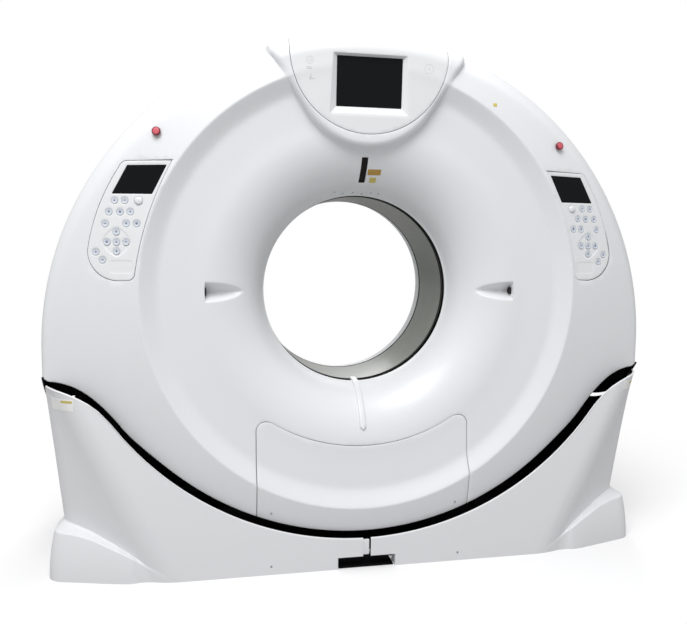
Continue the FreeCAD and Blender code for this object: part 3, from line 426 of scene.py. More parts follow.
# One red plastic: the face is painted lighter as light and the body and rim darker as shade.
LIT_STOP_RED = material("stop_red", (0.60, 0.10, 0.125), 0.4, coat=0.1, tone=0.06, tone_scale=30)
SHADED_STOP_RED = material("stop_rim_painted_shade", (0.17, 0.012, 0.02), 0.4, coat=0.1, tone=0.06, tone_scale=30)
KEY_PALE = material("key_pale", (0.60, 0.635, 0.70), 0.45, tone=0.04, tone_scale=40)
KEY_WHITE = material("key_white", (0.74, 0.75, 0.77), 0.42, tone=0.03, tone_scale=40)
KEY_MARK = material("key_mark", (0.19, 0.23, 0.31), 0.5, tone=0.06, tone_scale=60)
MARK = material("pale_mark", (0.55, 0.56, 0.56), 0.5, tone=0.1, tone_scale=60)
LABEL = material("blank_label", (0.88, 0.88, 0.87), 0.45, tone=0.02, tone_scale=40)
MARK_DARK = material("dark_mark", (0.05, 0.05, 0.05), 0.5, tone=0.2, tone_scale=60)
ORANGE = material("orange_plate", (0.44, 0.26, 0.05), 0.5, tone=0.06, tone_scale=40)
YELLOW = material("yellow_field", (0.60, 0.50, 0.12), 0.5, tone=0.06, tone_scale=40)
SCREW = material("screw_steel", (0.4, 0.4, 0.4), 0.35, metal=0.9, tone=0.1, tone_scale=80)


# ---- housing forms
def hermite(knots, at):
    """Smooth curve through (place, value, slope) knots."""
    k = np.array(knots, float)
    i = np.clip(np.searchsorted(k[:, 0], at) - 1, 0, len(k) - 2)
    a, b = k[i], k[i + 1]
    h = b[..., 0] - a[..., 0]
    t = np.clip((at - a[..., 0]) / h, 0, 1)
    t2, t3 = t * t, t ** 3
    return ((2 * t3 - 3 * t2 + 1) * a[..., 1] + (t3 - 2 * t2 + t) * h * a[..., 2]
            + (3 * t2 - 2 * t3) * b[..., 1] + (t3 - t2) * h * b[..., 2])


# y of the 45-degree band at the outline, in front and behind, and the softness of its inner edge.
BAND_FRONT, BAND_REAR, BAND_SOFT = -378.3, -385.0, 7.0
# Knots (radius, y, slope) of the dish, the step and the sloping ring in front, and of the rear cover.
RING_SLOPE = 0.2
STEP = [(600, -415, 0), (722, -423.2, -0.075), (748, -428.9, -0.46), (797.5, -456.9, -0.56),
        (803.5, -458.3, RING_SLOPE), (1300, -359, RING_SLOPE)]
REAR = [(600, -415, 0), (845, -434, 0), (900, -431, 0.16), (1300, -365, 0.17)]


def to_side(x, z):
    """Distance inside the outline of the housing's top and sides."""
    return np.where(z > TOP_CENTRE, HALF - np.hypot(x, z - TOP_CENTRE), HALF - np.abs(x))


def rolled(distance, radius):
    """How far a rounded edge falls back at a distance inside it."""
    inset = np.clip(radius - distance, 0, radius)
    return radius - np.sqrt(np.maximum(radius ** 2 - inset ** 2, 0))


def larger(a, b, soft):
    """Maximum with a soft change from one to the other."""
    return (a + b + np.sqrt((a - b) ** 2 + soft ** 2)) / 2


def smaller(a, b, soft):
    """Minimum with a soft change from one to the other."""
    return (a + b - np.sqrt((a - b) ** 2 + soft ** 2)) / 2


def mouth(r, rim, depth, knots):
    """Bell mouth from the rim forward, and the knots' curve beyond its end."""
    share = np.clip((MOUTH_END - r) / MOUTH_WIDE, 0, 1)
    return np.where(r < MOUTH_END, rim - depth * np.sqrt(1 - share ** 2), hermite(knots, r))


FACE = [(-443.0, 1530.0), (-467.0, 1868.0)]     # (y, z) of the shield's leaning face, low and high
SHIELD_CENTRE, SHIELD_R = 1808.0, 270.0         # its round foot
SHIELD_TOP, SHIELD_CORNER = (367.0, 1985.0), (357.0, 1855.0)
SHIELD_TURN, SHIELD_FALL = 84.0, 85.0           # width and fall of the band that turns over at the top
BEHIND = -250.0                                 # outside its edge the shield lies behind the housing


def lean(z):
    (y0, z0), (y1, z1) = FACE
    return y0 + (y1 - y0) * (np.minimum(z, z1) - z0) / (z1 - z0)


def shield_side(step):
    """Right half of the shield's edge, from above the housing down to the middle of its round foot."""
    swing = math.radians(55.0)
    side = (SHIELD_R * math.sin(swing), SHIELD_CENTRE - SHIELD_R * math.cos(swing))
    corner = Vector(SHIELD_CORNER)
    a = corner + (Vector(SHIELD_TOP) - corner).normalized() * 14
    b = corner + (Vector(side) - corner).normalized() * 20
    turned = [tuple(bend(a, corner, b, t)) for t in np.linspace(0, 1, 6)]
    return chain(line(SHIELD_TOP, tuple(a), step), turned, line(tuple(b), side, step),
                 arc(0, SHIELD_CENTRE, SHIELD_R, -35, -90, step))


def shield_edge(step):
    side = shield_side(step)
    return np.array(side + mirrored(side)[1:])


CONTOUR = shield_edge(1.5)


def shield_face(x, z):
    """Leaning body of the display shield: rounded at its edge, turned over along the top."""
    x, z = np.broadcast_arrays(np.asarray(x, float), np.asarray(z, float))
    out = np.full(x.shape, BEHIND)
    near = (np.abs(x) < 430) & (z > 1480)
    if near.any():
        u, v = x[near], z[near]
        points = np.stack([u, v], 1)
        gap = nearest(points, CONTOUR) * np.where(inside(points, CONTOUR), 1, -1)
        over = np.clip((SHIELD_TURN - to_side(u, v)) / SHIELD_TURN, 0, 1)
        body = lean(v) + SHIELD_FALL * (1 - np.sqrt(np.maximum(1 - over ** 2, 0.0)))
        out[near] = np.minimum(body + rolled(gap, 22.0) + 3.0 * np.maximum(-gap, 0), BEHIND)
    return out


SCOOP_HALF, SCOOP_END = 34.0, 577.6     # half of a grip recess's height, and x of its upright end


def trough(x, z):
    """Grip recess on either side of the mouth: a boat-shaped hollow with an upright outer end."""
    across = np.abs(z - AXIS) / SCOOP_HALF
    end = smooth((np.abs(x) - SCOOP_END) / 3.0)
    return -366.0 - 48.0 * across ** 1.7 - 60.0 * end - 4.0 * np.maximum(across - 1, 0) * SCOOP_HALF


def front_face(x, z):
    """Front of the housing: mouth, dish, step and ring, turned over at 45 degrees, recesses and shield."""
    x, z = np.asarray(x, float), np.asarray(z, float)
    y = mouth(np.hypot(x, z - AXIS), MOUTH_RIM, MOUTH_DEPTH, STEP)
    y = larger(y, BAND_FRONT - to_side(x, z), BAND_SOFT)
    recess = (np.abs(z - AXIS) < 60) & (np.abs(x) > 400) & (np.abs(x) < 640)
    y = np.where(recess, larger(y, trough(x, z), 3.0), y)
    return smaller(y, shield_face(x, z), 10.0)


def front_at(x, z):
    return float(front_face(x, z))


def rear_face(x, z):
    """Rear of the housing, as if it faced forward."""
    y = mouth(np.hypot(x, z - AXIS), -90.0, 325.0, REAR)
    return larger(y, BAND_REAR - to_side(x, z), BAND_SOFT)


# Radius of places along the front mouth's wall, and how far they lie from the rim along it.
turn = np.linspace(0, math.pi / 2, 200)
ARC_R = MOUTH_END - MOUTH_WIDE * np.cos(turn)
ARC_S = np.concatenate([[0], np.cumsum(np.hypot(np.diff(ARC_R), np.diff(MOUTH_DEPTH * np.sin(turn))))])


def unrolled(points):
    """Plane in which the mouth is spread out to its real length."""
    x, z = points[:, 0], points[:, 1] - AXIS
    r = np.maximum(np.hypot(x, z), 1e-6)
    spread = np.where(r < MOUTH_END, RIM + np.interp(r, ARC_R, ARC_S), RIM + ARC_S[-1] + r - MOUTH_END)
    return np.stack([x * spread / r, z * spread / r], 1)


def polar_points(radii, around):
    turns = np.arange(around) * 2 * math.pi / around
    return [(r * math.cos(a), AXIS + r * math.sin(a)) for r in radii for a in turns]


def along_side(insets):
    """Rows of points inside the outline of the top and the sides."""
    points, step = [], 14.0
    for inset in insets:
        r = HALF - inset
        points += line((r, 560.0), (r, TOP_CENTRE), step) + arc(0, TOP_CENTRE, r, 0, 180, step)
        points += line((-r, TOP_CENTRE), (-r, 560.0), step)
    return points


def crown_points():
    """Points over the top, where the display shield turns over."""
    return [p for inset in range(4, 96, 6) for p in arc(0, TOP_CENTRE, HALF - inset, 70, 110, 9.0)]


def shield_points():
    """Rows of points along the shield's edge."""
    edge = shield_edge(6.0)
    ahead = np.gradient(edge, axis=0)
    ahead /= np.linalg.norm(ahead, axis=1)[:, None]
    normal = np.stack([ahead[:, 1], -ahead[:, 0]], 1)
    points = []
    for inset in (-17, -13, -10, -7.5, -5, -3, -1.2, 0.4, 1.6, 3.2, 5.5, 8.5, 12, 16, 20, 25):
        points += (edge + normal * inset).tolist()
    return points


def scoop_points():
    """Points over both grip recesses, close together at their upright ends."""
    points = []
    for x in [442 + 5.5 * k for k in range(24)] + [573.0, 576.5, 577.8, 579.1, 580.4, 582.5, 587, 593]:
        points += [(side * x, AXIS + z) for z in np.arange(-45, 46, 3.0) for side in (-1, 1)]
    return points


def mouth_rings(first, count):
    return [MOUTH_END - MOUTH_WIDE * math.cos(t) for t in np.linspace(first, math.pi / 2, count)]


FRONT_RINGS = (mouth_rings(0.03, 27)
               + [622, 644, 666, 688, 704, 714, 722, 730, 737, 743, 749, 757, 767, 778, 788, 794, 798, 801]
               + [804, 808, 815, 830] + list(range(850, 1140, 25)))
REAR_RINGS = mouth_rings(0.05, 16) + list(range(640, 1140, 40))


def gap_line(x0):
    """Right half of the sweeping gap's edge, from x0 outwards."""
    down = math.degrees(math.atan2(-(SWEEP_CENTRE - BLEND_CENTRE), HALF))
    first = math.degrees(-math.acos(x0 / SWEEP))
    return chain(arc(0, SWEEP_CENTRE, SWEEP, first, down), arc(HALF, BLEND_CENTRE, BLEND, down + 180, 90))


def split_at(points, x):
    """Adds two points close together where the line crosses an x."""
    out = []
    for a, b in zip(points, points[1:]):
        out.append(a)
        if (a[0] - x) * (b[0] - x) < 0:
            t = (x - a[0]) / (b[0] - a[0])
            z = a[1] + (b[1] - a[1]) * t
            out += [(x - 0.03, z), (x + 0.03, z)]
    return out + [points[-1]]


def walls(points, end=MEET):
    """Edge at the outline of the top or the sides, with a wall back to a depth."""
    return [(x, z, end, CROWN) for x, z in points]


def upper_walls(end):
    """Walls up the right side and round the top to an angle."""
    return walls(line((HALF, LEVEL), (HALF, TOP_CENTRE))[1:] + arc(0, TOP_CENTRE, HALF, 0, end)[1:])


def hem(points):
    """Lower edge, let down to narrow the gap: back to the seat, at the sides to the middle plane."""
    lower = []
    for x, z in points:
        drop = 11.0 + 22.0 * math.exp(-((x - 890.0) / 95.0) ** 2)
        lower.append((x, z - float(drop * smooth((HALF - x) / 24.0))))
    return [(x, z, SEAT_FRONT if x < SEAT_SIDE else MEET, HEM) for x, z in split_at(lower, SEAT_SIDE)]


def service_top(grow):
    """Right half of the service door's edge, from the middle of its hollow top to its straight side."""
    half, top, shoulder = DOOR_HALF + grow, 548.0 + grow, 515.0
    low, a, b = (0.0, 443.0 + grow), (half - 66, top - 10), (half - 34, top)
    hollow = [p for p in through((-a[0], a[1]), low, a) if p[0] >= -1e-6]
    return chain(hollow, through(a, (half - 50, top - 2), b),
                 through(b, (half - 10, shoulder + 23), (half, shoulder), 4.0))


DISC_CENTRE, DISC_R = 1869.0, 286.0


def disc_edge(grow):
    """Right half of the display panel's edge, from the housing's outline down to its foot."""
    r = DISC_R + grow
    head = (r, TOP_CENTRE + math.sqrt(HALF ** 2 - r ** 2))
    return line(head, (r, DISC_CENTRE), 6.0)[:-1] + arc(0, DISC_CENTRE, r, 0, -90, 7.0)


def top_angle(head):
    """Angle about the round top's centre of a place on its outline."""
    return math.degrees(math.atan2(head[1] - TOP_CENTRE, head[0]))


def front_loop():
    """Outline of the front moulding, round the service door and the display panel."""
    disc, foot = disc_edge(FINE_SEAM), service_top(SEAM)
    bottom = hem(gap_line(DOOR_HALF + SEAM))
    return whole(foot + line(foot[-1], bottom[0][:2])[1:-1] + bottom + upper_walls(top_angle(disc[0]))
                 + disc[1:])


def panel_outline(i):
    """Right control panel's outline, moved inwards by i."""
    start = (682.0 + i * 1.3, 1472.0 - i)
    course = [((771.0 + i, 1264.0), (812.0 + i, 1086.0)),
              ((819.0 + i, 1070.0 + i * 0.7), (835.0 + i * 0.3, 1063.0 + i)),
              ((868.0, 1062.0 + i),),
              ((938.0 - i * 0.7, 1092.0 + i * 0.7), (967.0 - i, 1164.0)),
              ((936.0 - i, 1290.0), (860.0 - i, 1445.0 - i * 0.4)),
              ((850.0 - i * 0.8, 1460.0 - i * 0.8), (836.0 - i * 0.4, 1467.0 - i)),
              (start,)]
    points = [start]
    for step in course:
        draw = through if len(step) == 2 else line
        points = chain(points, draw(points[-1], *step, 7.0))
    return points[:-1]


STOP = (733.0, 1565.0)
BORE_HOLE = circle(0, AXIS, RIM + 0.4, 8.0)


def panel_opening(side):
    """Opening for a panel; the right one has a wider shadow gap along its outer and lower edge."""
    outline = panel_outline(-FINE_SEAM)
    if side < 0:
        return mirrored(outline)
    points = []
    for x, z in outline:
        turn = math.atan2(z - 1230, x - 850)
        wider = 6.5 * math.exp(-((turn + 0.55) / 0.62) ** 2)
        points.append((x + wider * math.cos(turn), z + wider * math.sin(turn)))
    return points


def holes():
    stop, slot = circle(*STOP, 10.0, 4.0), softened(rect(-12, 12, 1423, 1509), 3.0, step=6.0)
    return [BORE_HOLE, slot, panel_opening(1), panel_opening(-1), stop, mirrored(stop)]


def lobes():
    """Round lower ends of the housing's sides, front half."""
    form = Form()
    first = -90.0 - math.degrees(math.asin(math.sqrt(1 - ((AXIS - LEVEL) / LOBE_R) ** 2)))
    points = arc(0, AXIS, LOBE_R, first, -90, 8.0)
    outline = points + line(points[-1], (0, LEVEL + 4), 20)[1:] + [(points[0][0], LEVEL + 4)]
    slab(form, outline, lambda u, v, w: (w, u + MEET, v), HALF - 1.5, HALF, 1.4)
    # Painted shade: the inner plate of each lobe is black.
    slab(form, outline, lambda u, v, w: (w, u - 0.8, v), HALF - WALL, HALF - 1.6, 0.3, SHADE_SIDE)
    form.join(form.flipped(0))
    return form


def top_wall(form):
    """Top of the housing behind the display panel."""
    first = math.degrees(math.acos((DISC_R + SEAM) / HALF))
    rows = []
    for radius, y in ((HALF, TOP_FRONT), (HALF, MEET), (HALF - WALL, MEET), (HALF - WALL, TOP_FRONT)):
        rows.append([(x, y, z) for x, z in arc(0, TOP_CENTRE, radius, first, 180 - first, 12.0)])
    form.grid([list(column) for column in zip(*rows)], round_u=True, caps=True)


front_rings = polar_points(FRONT_RINGS, 288)
front = Form()
shell(front, [front_loop()] + holes(), front_face,
      front_rings + along_side(range(2, 92, 5)) + shield_points() + crown_points() + scoop_points(),
      unrolled)
front.join(lobes())
top_wall(front)
front.piece("front_housing", "gantry", [WHITE, SHADE_BLACK], ["front_cover", "display_shroud"], "white_cover")

service = Form()
half, side = service_top(-SEAM), DOOR_HALF - SEAM
bottom = [p for p in gap_line(0.0) if p[0] < side - 2]
bottom = hem(bottom + [(side, SWEEP_CENTRE - math.sqrt(SWEEP ** 2 - side ** 2))])
right = bottom + line(half[-1], bottom[-1][:2])[::-1][1:-1] + half[::-1]
shell(service, [right[:-1] + mirrored(right)[:-1]], front_face, front_rings, unrolled)
service.piece("service_door", "gantry", [WHITE, SHADE_BLACK], ["service_panel"], "white_cover")

rear = Form()
shell(rear, [whole(hem(gap_line(0.0)) + upper_walls(90)), BORE_HOLE], rear_face,
      polar_points(REAR_RINGS, 192) + along_side(range(2, 92, 8)), unrolled)
rear.join(lobes())
rear = rear.flipped(1)
rear.piece("rear_housing", "gantry", [WHITE, SHADE_BLACK], ["rear_cover"], "white_cover")


# ---- bore
def turned_ring(name, profile, finish, nodes=(), slot=None):
    """Ring about the patient axis from (radius, y) points."""
    form = Form()
    turns = full_turn(240)
    form.grid([[(r * math.cos(a), y, AXIS + r * math.sin(a)) for a in turns] for r, y in profile],
              round_u=True, round_v=True)
    form.piece(name, "gantry", [finish], nodes, slot)


def bead(radius, y, size):
    """Section of a gasket."""
    return [(radius + size * math.cos(a), y + size * math.sin(a)) for a in full_turn(10)]


WINDOW = [(361.5, -204.0), (360.4, -201.5), (360.0, -196), (360.0, -60), (360.0, 82), (360.4, 87),
          (361.5, 89.6), (365.9, 89.6), (365.9, -204.0)]
turned_ring("bore_window", WINDOW, GREY_RING, ["scan_window"], "window_ring")
turned_ring("rim_gasket", bead(361.2, -204.6, 2.6), BLACK)
turned_ring("rear_gasket", bead(361.9, 90.2, 1.9), BLACK)


def mouth_point(turn, out):
    """Radius and y of a place on the mouth's wall, moved out from it."""
    r, y = MOUTH_END - MOUTH_WIDE * math.cos(turn), MOUTH_RIM - MOUTH_DEPTH * math.sin(turn)
    nr, ny = -MOUTH_DEPTH * math.cos(turn), -MOUTH_WIDE * math.sin(turn)
    n = math.hypot(nr, ny)
    return r + nr / n * out, y + ny / n * out


def floor_strip():
    """Contact strip: it runs from the rim down the lower mouth and ends in a round tongue."""
    form = Form()
    half, middle, first, last = 12.0, -2.0, -0.03, math.radians(70)
    section = [(-1, -2.5), (-1, 4.5), (-0.9, 6.6), (-0.7, 7.6), (0, 7.9)]
    section += mirrored(section)[1:]
    rows = []
    for k in range(41):
        turn = first + (last - first) * k / 40
        left = (last - turn) * (MOUTH_WIDE + MOUTH_DEPTH) / 2
        wide = half * math.sqrt(max(0.02, 1 - max(0.0, (half - left) / half) ** 2))
        row = []
        for u, out in section:
            r, y = mouth_point(max(turn, 0.0), out)
            x = middle + u * wide
            row.append((x, y + (4.0 if turn < 0 else 0.0), AXIS - math.sqrt(max(r * r - x * x, 0))))
        rows.append(row)
    form.grid(rows, round_u=True, caps=True)
    return form


floor_strip().piece("floor_strip", "gantry", [PANEL_WHITE], ["contact_strip"], "white_cover")


# ---- display
FRAME_OUTER = [(-141.0, 1650.0), (141.0, 1650.0), (133.0, 1854.0), (-133.0, 1854.0)]
FRAME_INNER = rect(-119.0, 119.0, 1676.0, 1848.0)

board = Form()
half = disc_edge(-FINE_SEAM)
half = half[::-1] + walls(arc(0, TOP_CENTRE, HALF, top_angle(half[0]), 90, 8.0)[1:], BOARD_BACK)
shell(board, [whole(half), softened(FRAME_OUTER, 6.0, step=8.0)], front_face,
      lattice((-290, 1580), (290, 1950), 12.0, 6.0).tolist() + crown_points(), thick=14.0)
outer, inner = (counter(softened(c, r, step=1e9)) for c, r in ((FRAME_OUTER, 6.0), (FRAME_INNER, 3.0)))
rows = []
for outline, rise in ((outer, 3.0), (outer, 0.6), (inner, 12.2), (inner, 16.0), (outer, 16.0)):
    rows.append([(x, front_at(x, z) + rise, z) for x, z in outline])
board.grid(rows, round_u=True, round_v=True)
board.piece("display_board", "gantry", [PANEL_WHITE, SHADE_BLACK], ["display_panel"], "white_cover")


def ring(form, x, z, outer, inner):
    """Thin printed ring on the display's face."""
    rows = []
    for radius, out in ((outer, -0.3), (outer, 0.18), (inner, 0.18), (inner, -0.3)):
        rows.append([(u, front_at(u, v) - out, v) for u, v in circle(x, z, radius, radius * math.pi / 20)])
    form.grid(rows, round_u=True, round_v=True)


form = Form()
for x, z, outer, inner in ((213, 1815, 17.0, 15.6), (213, 1815, 2.6, 0.4), (-216, 1824, 13.0, 11.4),
                           (-216, 1824, 6.5, 5.2)):
    ring(form, x, z, outer, inner)
for x, z, w, h in ((-219, 1800, 9, 1.2), (-219, 1795, 9, 1.2), (-212, 1770, 1.2, 9), (-206, 1762, 8, 1.2),
                   (-215, 1762, 1.2, 6)):
    slab(form, rect(x - w, x + w, z - h, z + h), lambda u, v, t: (u, front_at(u, v) - t, v), -0.3, 0.2, 0.1)
form.piece("display_marks", "gantry", [MARK])


# ---- control panels
SLOPE_X, SLOPE_Z, PANEL_Y = 0.129, 0.0446, -604.5     # the panels' plane
NORMAL = Vector((SLOPE_X, -1.0, SLOPE_Z)).normalized()
PAD, PAD_X, PAD_Z, PAD_POWER = (871.0, 1194.0), 47.0, 50.0, 1.45    # recess of the direction keys
KEYS = [(875.5, 1334.5), (841.6, 1334.5), (894.4, 1295.5), (857.5, 1295.5), (823.6, 1296.4), (907.6, 1255.6),
        (838.0, 1256.5), (803.5, 1256.5), (939.4, 1160.5), (917.5, 1133.5), (871.0, 1228.5), (902.5, 1194.0),
        (871.0, 1194.0), (839.5, 1194.0), (871.0, 1162.5), (796.0, 1333.0)]
DOMED = 16                                            # number of the domed key
PANEL_GLASS = [(832.0, 1452.0), (701.0, 1455.0), (751.0, 1356.0), (884.0, 1356.0)]


def panel_y(x, z):
    return PANEL_Y + SLOPE_X * x + SLOPE_Z * z


def pad_distance(x, z):
    """How far inside the rounded-diamond recess of the direction keys a point is."""
    u, v = np.abs(x - PAD[0]) / PAD_X, np.abs(z - PAD[1]) / PAD_Z
    return (1 - (u ** PAD_POWER + v ** PAD_POWER) ** (1 / PAD_POWER)) * 48.0


def panel_face(x, z):
    """Front of a control panel: a plane with the two shallow recesses."""
    off_x, off_z = np.maximum(np.abs(x - 857.5) - 29.5, 0), np.maximum(np.abs(z - 1109.5) - 13.5, 0)
    within = 8.0 - np.maximum(np.hypot(off_x, off_z), 0)
    return panel_y(x, z) + 1.5 * smooth((pad_distance(x, z) + 1.0) / 3.0) + 0.8 * smooth((within + 1.0) / 2.0)


def control_panel():
    """Right control panel, open at the keys and at its small screen."""
    form = Form()
    wells = [circle(x, z, 14.6 if number == DOMED else 12.1, 3.0)
             for number, (x, z) in enumerate(KEYS, start=1)]
    free = lattice((670, 1050), (980, 1480), 7.0, 3.5).tolist()
    for a in full_turn(90):
        c, s = math.cos(a), math.sin(a)
        size = (abs(c / PAD_X) ** PAD_POWER + abs(s / PAD_Z) ** PAD_POWER) ** (-1 / PAD_POWER)
        free += [(PAD[0] + (size + d) * c, PAD[1] + (size + d) * s) for d in (-2.4, -1.2, 0.0, 1.4)]
    for grow in (-1.2, 0.0, 1.2):
        free += softened(rect(820 - grow, 895 + grow, 1088 - grow, 1131 + grow), 8.0, step=4.0)
    shell(form, [panel_outline(FINE_SEAM), softened(PANEL_GLASS, 3.0, step=7.0)] + wells, panel_face, free,
          thick=12.0, back_step=20.0)
    return form


def key(profile, place):
    form = Form()
    lathe(form, profile, (place[0], panel_y(*place), place[1]), NORMAL, 36)
    return form


FLAT_KEY = [(11.2, -7.5), (11.5, -7.0), (11.5, 0.6), (11.2, 1.3), (10.5, 1.5), (9.7, 1.3), (8.0, 0.7),
            (5.0, 0.25), (2.0, 0.1), (0.3, 0.1)]
DOME_KEY = [(13.8, -7.5), (14.0, -7.0), (14.0, 0.0), (13.6, 2.2), (12.2, 4.0), (9.6, 5.4), (6.0, 6.2),
            (2.5, 6.5), (0.3, 6.5)]
ICONS = [circle(0, 0, 4.2, 1.2), [(-4, -3), (4, -3), (0, 4.2)], rect(-4.4, 4.4, -1.3, 1.3),
         [(0, 4.6), (-3.6, 0), (0, -4.6), (3.6, 0)]]


def icon(form, place, number):
    """Small generic mark in the hollow of a key."""
    x, z = place
    y = panel_y(x, z)
    slab(form, ICONS[number % 4],
         lambda u, v, w: tuple(Vector((x + u, y + SLOPE_X * u + SLOPE_Z * v, z + v)) + NORMAL * w),
         -0.2, 0.55, 0.2, 1)


def handed(form, side):
    """A form of the right side, mirrored for the left."""
    return form.flipped(0) if side == "left" else form


for side in ("right", "left"):
    form = handed(control_panel(), side)
    form.piece(side + "_panel", "gantry", [PANEL_WHITE, SHADE_BLACK], [side + "_control_panel"], "panel_face")
    for number, place in enumerate(KEYS, start=1):
        form = key(DOME_KEY if number == DOMED else FLAT_KEY, place)
        if number < DOMED:
            icon(form, place, number)
        form = handed(form, side)
        name = "%s_key_%d" % (side, number)
        light = number < 9 or number == DOMED
        finish = KEY_WHITE if number == DOMED else KEY_PALE
        form.piece(name + "_top", name + "_cap", [finish, KEY_MARK], [name],
                   "light_key" if light else "grey_key")

stop_r = math.hypot(STOP[0], STOP[1] - AXIS)
stop_place = (STOP[0], -450.0 + RING_SLOPE * (stop_r - 845.0), STOP[1])
stop_out = Vector((RING_SLOPE * STOP[0] / stop_r, -1.0, RING_SLOPE * (STOP[1] - AXIS) / stop_r))
STOP_BODY = [(8.8, -18.0), (9.0, -17.5), (9.0, 5.0), (14.2, 6.0), (15.0, 7.2), (15.0, 11.5), (14.2, 13.6),
             (12.2, 14.6), (11.4, 14.4)]
STOP_FACE = [(11.5, 14.2), (11.3, 14.7), (10.4, 15.4), (8.0, 15.8), (3.0, 16.0), (0.3, 16.0)]
for side in ("right", "left"):
    form = Form()
    # Body and rim take the painted-shade red, the face the painted-light red.
    for slot, profile in enumerate((STOP_BODY, STOP_FACE)):
        lathe(form, profile, stop_place, stop_out, 48, slot)
    form = handed(form, side)
    form.piece(side + "_stop_button", side + "_stop", [SHADED_STOP_RED, LIT_STOP_RED], [side + "_emergency_stop"], "stop_red")


# ---- base covers
BASE_FRONT, BASE_TOP = 477.2, 720.0
RIDGE, NOTCH = 719.0, 108.0         # x on the floor of the front's outer corner and of the cable notch
GAP = 25.0                          # gap between the base and the housing's sweep, before the hem
# Foot of the toe, from the front's outer corner round to the side, and its height over x.
TOE = [(RIDGE, -477.8), (880.0, -456.0), (1106.0, -396.0), (1134.0, -364.0), (1134.0, -250.0),
       (1084.0, -130.0)]
TOE_RISE = [(700, 6), (720, 26), (745, 46), (785, 75), (832, 101), (880, 126), (940, 150), (986, 168),
            (1045, 182), (1090, 188), (1130, 190)]


def base_corners(height, start):
    """Corners of the base's plan at a height: the front flares out and the side leans out."""
    share = height / BASE_TOP
    ridge, side, depth = RIDGE + 355.0 * share, 1077.0 + 60.0 * share, 300.0 + 76.0 * share
    return [Vector(p) for p in ((start, -BASE_FRONT), (ridge, -BASE_FRONT), (side, -depth), (side, 0.0))]


def base_point(at, height, start):
    """Place on the base's plan; at runs to 1 over the front, to 2 over the corner, to 3 over the side."""
    corners = base_corners(height, start)
    for k, soft in ((1, 55.0), (2, 60.0)):
        a = soft / (corners[k] - corners[k - 1]).length
        b = soft / (corners[k + 1] - corners[k]).length
        if k - a < at < k + b:
            p = corners[k] + (corners[k - 1] - corners[k]) * a
            q = corners[k] + (corners[k + 1] - corners[k]) * b
            return bend(p, corners[k], q, (at - k + a) / (a + b))
    k = min(int(at), 2)
    return corners[k] + (corners[k + 1] - corners[k]) * (at - k)


def base_top(point):
    """Height of the base's upper edge over a point of the plan."""
    x, y = abs(point.x), abs(point.y)
    sweep, blend, saddle_r = SWEEP + GAP, BLEND - GAP, LOBE_R + 14.0
    reach = sweep * HALF / math.hypot(HALF, SWEEP_CENTRE - BLEND_CENTRE)
    if x < reach:
        level = SWEEP_CENTRE - math.sqrt(sweep ** 2 - x ** 2)
    else:
        level = BLEND_CENTRE + math.sqrt(blend ** 2 - min(HALF - min(x, HALF), blend) ** 2)
    return min(level, AXIS - math.sqrt(saddle_r ** 2 - y ** 2)) if y < saddle_r else level


def toe_at(at):
    """Foot of the toe beside a place on the plan, and its height there; None where there is no toe."""
    lengths = [math.dist(a, b) for a, b in zip(TOE, TOE[1:])]
    whole, corner = sum(lengths), lengths[0] + lengths[1] + lengths[2] * 0.6
    run = (at - 1.0) * corner if at <= 2.0 else corner + (at - 2.0) / 0.57 * (whole - corner)
    if at <= 1.0 or run >= whole:
        return None
    soft = []
    for offset in (-18, -9, 0, 9, 18):
        left = max(0.0, min(whole - 1e-6, run + offset * min(1.0, run / 60.0, (whole - run) / 60.0)))
        for a, b, n in zip(TOE, TOE[1:], lengths):
            if left <= n:
                soft.append(Vector(a) + (Vector(b) - Vector(a)) * (left / n))
                break
            left -= n
    place = sum(soft, Vector((0, 0))) / len(soft)
    height = float(np.interp(place.x if at < 2.1 else 1124.0, *zip(*TOE_RISE)))
    return place, height * (1 - 0.35 * float(smooth((at - 2.25) / 0.32)))


def base_column(at, start, floor):
    """One upright section: outside and rolled top, then the inside down to the floor again."""
    high = 500.0
    for _ in range(60):
        high = 0.5 * high + 0.5 * base_top(base_point(at, high, start))
    ends = [base_point(a, high * 0.6, start) for a in (max(at - 0.02, 0.0), min(at + 0.02, 3.0))]
    along = (ends[1] - ends[0]).normalized()
    out = Vector((along.y, -along.x))
    share, levels = 0.0, np.linspace(floor, high - 5.0, 64)
    toe = toe_at(at) if floor == 0.0 else None
    if toe:
        place, height = toe
        ahead = (place - base_point(at, height, start)).dot(out)
        share = float(smooth(ahead / 14.0)) * float(smooth(height / 30.0))
    if share > 0:
        low, top = max(height - 34.0, 8.0), max(height + 14.0, 40.0)
        levels = [*np.linspace(floor, low, 8, endpoint=False), *np.linspace(low, top, 34, endpoint=False),
                  *np.linspace(top, high - 5.0, 22)]
    rows = []
    for z in levels:
        point = base_point(at, z, start)
        if share > 0:
            stay = share * (1 - float(smooth((z - height + 20.0) / 24.0)) ** 0.8)
            point = point * (1 - stay) + (place - out * 26.0 * (z / 190.0) ** 2) * stay
        rows.append((point, z))
    top = base_point(at, high, start)
    rows += [(top - out * (4 - 4 * math.cos(t)), high - 4 + 4 * math.sin(t))
             for t in np.linspace(0, math.pi, 7)]
    rows += [(base_point(at, z, start) - out * WALL, z)
             for z in [high - 5 + (floor - high + 5) * k / 10 for k in range(1, 11)]]
    return [(p.x, p.y, z) for p, z in rows]


